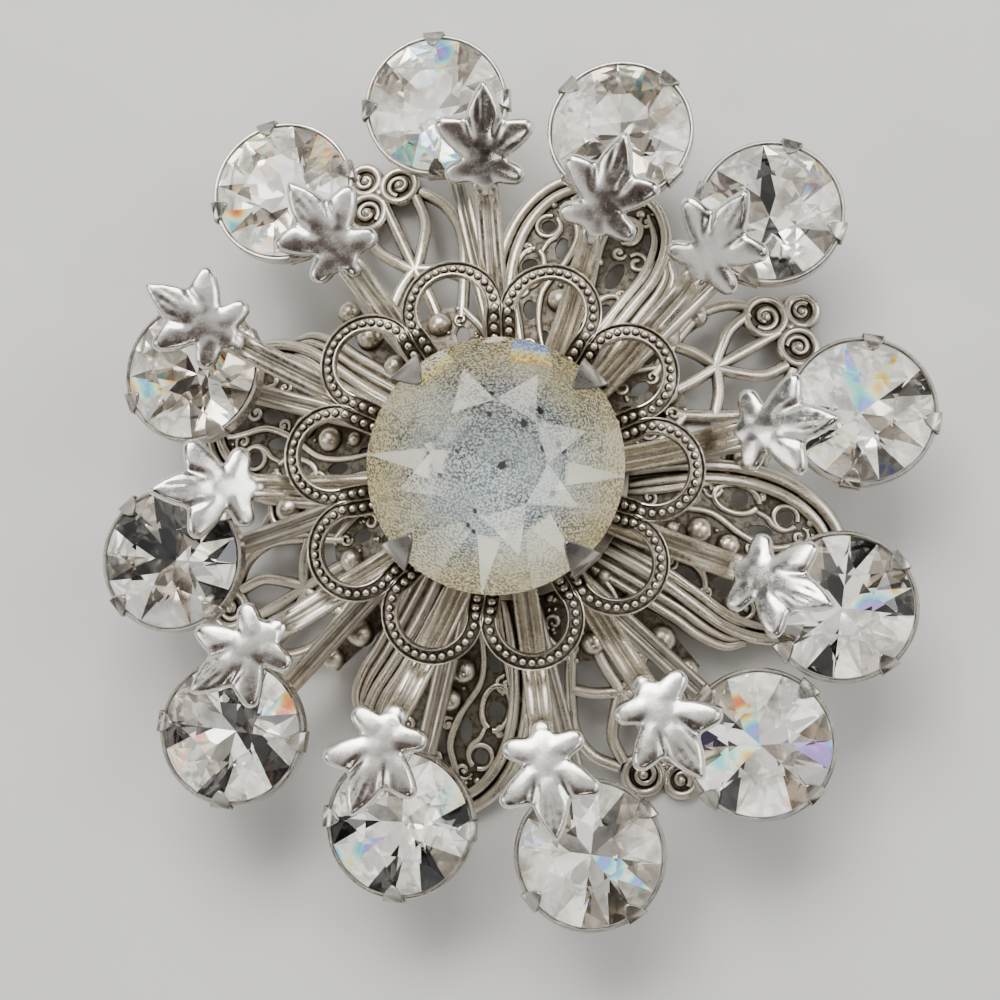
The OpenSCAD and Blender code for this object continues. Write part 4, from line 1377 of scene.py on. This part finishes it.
class BROOCH_OT_stage(BroochStep, bpy.types.Operator):
    """Sets the pale floor, the soft lights and the camera"""
    bl_idname = "brooch.stage"
    bl_label = "Stage"

    def execute(self, context):
        self.floor(context.scene.brooch_colours.floor)
        self.lights()
        self.sky()
        self.camera(context.scene.brooch_sizes)
        return {"FINISHED"}

    def floor(self, colour):
        bm = bmesh.new()
        bmesh.ops.create_grid(bm, x_segments=2, y_segments=2, size=1.5)
        mesh = bpy.data.meshes.new("pale_floor")
        bm.to_mesh(mesh)
        bm.free()
        material, tree, shader = new_material("floor_paper")
        mottle = ramp(tree, noise(tree, on_object(tree), 60.0, 6.0), 0.3, 0.7)
        fill(tree, shader, {
            "Base Color": blend_colours(tree, mottle, rgba(colour), rgba(colour, 0.94)),
            "Roughness": 0.85})
        mesh.materials.append(material)
        show("pale_floor", mesh)

    def lights(self):
        """Broad soft boxes, and a ring of small cards that the facets pick up."""
        # name, direction, height, distance, size, power, colour; each faces the brooch
        rows = [("window", 97, 52, 0.66, (0.50, 0.30), 4.2, (1.0, 0.98, 0.95)),
                ("left_box", 186, 36, 0.62, (0.16, 0.34), 0.7, (1.0, 0.97, 0.93)),
                ("right_box", 15, 42, 0.62, (0.20, 0.36), 1.1, (0.95, 0.97, 1.0)),
                ("top_box", 130, 61, 0.75, (0.26, 0.22), 0.8, (1.0, 0.99, 0.97))]
        cards = [(74, 36.4), (112, 31), (279, 50.2), (337, 50.7), (30, 44.6)]
        rows += [("card_%d" % (i + 1), *card, 0.5, (0.06, 0.06), 0.08, (1.0, 0.97, 0.86))
                 for i, card in enumerate(cards)]
        for name, direction, height, distance, size, power, colour in rows:
            lamp = bpy.data.lights.new(name, "AREA")
            lamp.shape = "RECTANGLE"
            lamp.size, lamp.size_y = size
            lamp.energy = power
            lamp.color = colour
            place = turn(direction) @ turn(-height, "Y") @ Vector((distance, 0, 0))
            light = show(name, lamp)
            light.location = place
            light.rotation_mode = "QUATERNION"
            light.rotation_quaternion = (-place).to_track_quat("-Z", "Y")

    def sky(self):
        """A soft surround of pale panels with darker gaps, and one dim warm corner."""
        world = bpy.data.worlds.new("soft_surround")
        bpy.context.scene.world = world
        world.use_nodes = True
        tree = world.node_tree
        background = tree.nodes["Background"]
        way = add(tree, "ShaderNodeTexCoord").outputs["Generated"]
        parts = add(tree, "ShaderNodeSeparateXYZ", {"Vector": way})
        around = math_node(tree, "ARCTAN2", parts.outputs["Y"], parts.outputs["X"])
        height = parts.outputs["Z"]
        swing = plus(tree, times(tree, around, 3.0), times(tree, height, 4.0))
        panels = ramp(tree, math_node(tree, "SINE", swing), -0.45, 0.4, 0.08, 0.85)
        middle = times(tree, ramp(tree, height, 0.04, 0.12), ramp(tree, height, 0.95, 0.82))
        pale = add(tree, "ShaderNodeMix", {
            0: middle, 2: ramp(tree, height, 0.5, 0.8, 0.5, 0.72), 3: panels},
            data_type="FLOAT")
        corner = add(tree, "ShaderNodeVectorMath", {
            0: way, 1: (0, -0.5, 0.866)}, operation="DOT_PRODUCT").outputs["Value"]
        colour = blend_colours(tree, ramp(tree, corner, 0.8, 0.91), (1.0, 0.985, 0.96, 1),
                               (0.12, 0.08, 0.068, 1))
        fill(tree, background, {"Color": colour, "Strength": pale.outputs[0]})

    def camera(self, sizes):
        # The camera leans towards the lower right, and looks a little below the middle
        turn_out = math.radians(-45)
        tilt = sizes.camera_tilt
        back = Vector((math.sin(tilt) * math.cos(turn_out),
                       math.sin(tilt) * math.sin(turn_out), math.cos(tilt)))
        aim = Vector((MIDDLE.x - 0.38, MIDDLE.y - 1.70, RIM_Z)) * MM
        right = Vector((0, 1, 0)).cross(back).normalized()
        up = back.cross(right)
        lens = bpy.data.cameras.new("camera")
        lens.sensor_width = 36
        lens.lens = CAMERA_LENS
        lens.clip_start = 0.01
        camera = show("camera", lens)
        camera.matrix_world = Matrix.Translation(aim + back * sizes.camera_distance) @ (
            Matrix((right, up, back)).transposed().to_4x4())
        bpy.context.scene.camera = camera


OPERATORS = (BROOCH_OT_rim_stones, BROOCH_OT_centre_stone, BROOCH_OT_cups, BROOCH_OT_leaves,
             BROOCH_OT_collar, BROOCH_OT_filigree, BROOCH_OT_frame, BROOCH_OT_stage)


class BROOCH_PT_panel(bpy.types.Panel):
    """Lists the steps that build the brooch and the values that they use"""
    bl_idname = "BROOCH_PT_panel"
    bl_label = "Flower brooch"
    bl_space_type = "VIEW_3D"
    bl_region_type = "UI"
    bl_category = "Brooch"

    def draw(self, context):
        for values in (context.scene.brooch_sizes, context.scene.brooch_colours):
            box = self.layout.box()
            for key in values.bl_rna.properties.keys():
                if key not in ("rna_type", "name"):
                    box.prop(values, key)
        for operator in OPERATORS:
            self.layout.operator(operator.bl_idname)


CLASSES = (BroochSizes, BroochColours) + OPERATORS + (BROOCH_PT_panel,)


def register():
    for cls in CLASSES:
        bpy.utils.register_class(cls)
    bpy.types.Scene.brooch_sizes = PointerProperty(type=BroochSizes)
    bpy.types.Scene.brooch_colours = PointerProperty(type=BroochColours)


def unregister():
    del bpy.types.Scene.brooch_colours
    del bpy.types.Scene.brooch_sizes
    for cls in reversed(CLASSES):
        bpy.utils.unregister_class(cls)


def main():
    register()
    for operator in OPERATORS:
        group, _, step = operator.bl_idname.partition(".")
        getattr(getattr(bpy.ops, group), step)()
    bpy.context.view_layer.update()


if __name__ == "__main__":
    main()
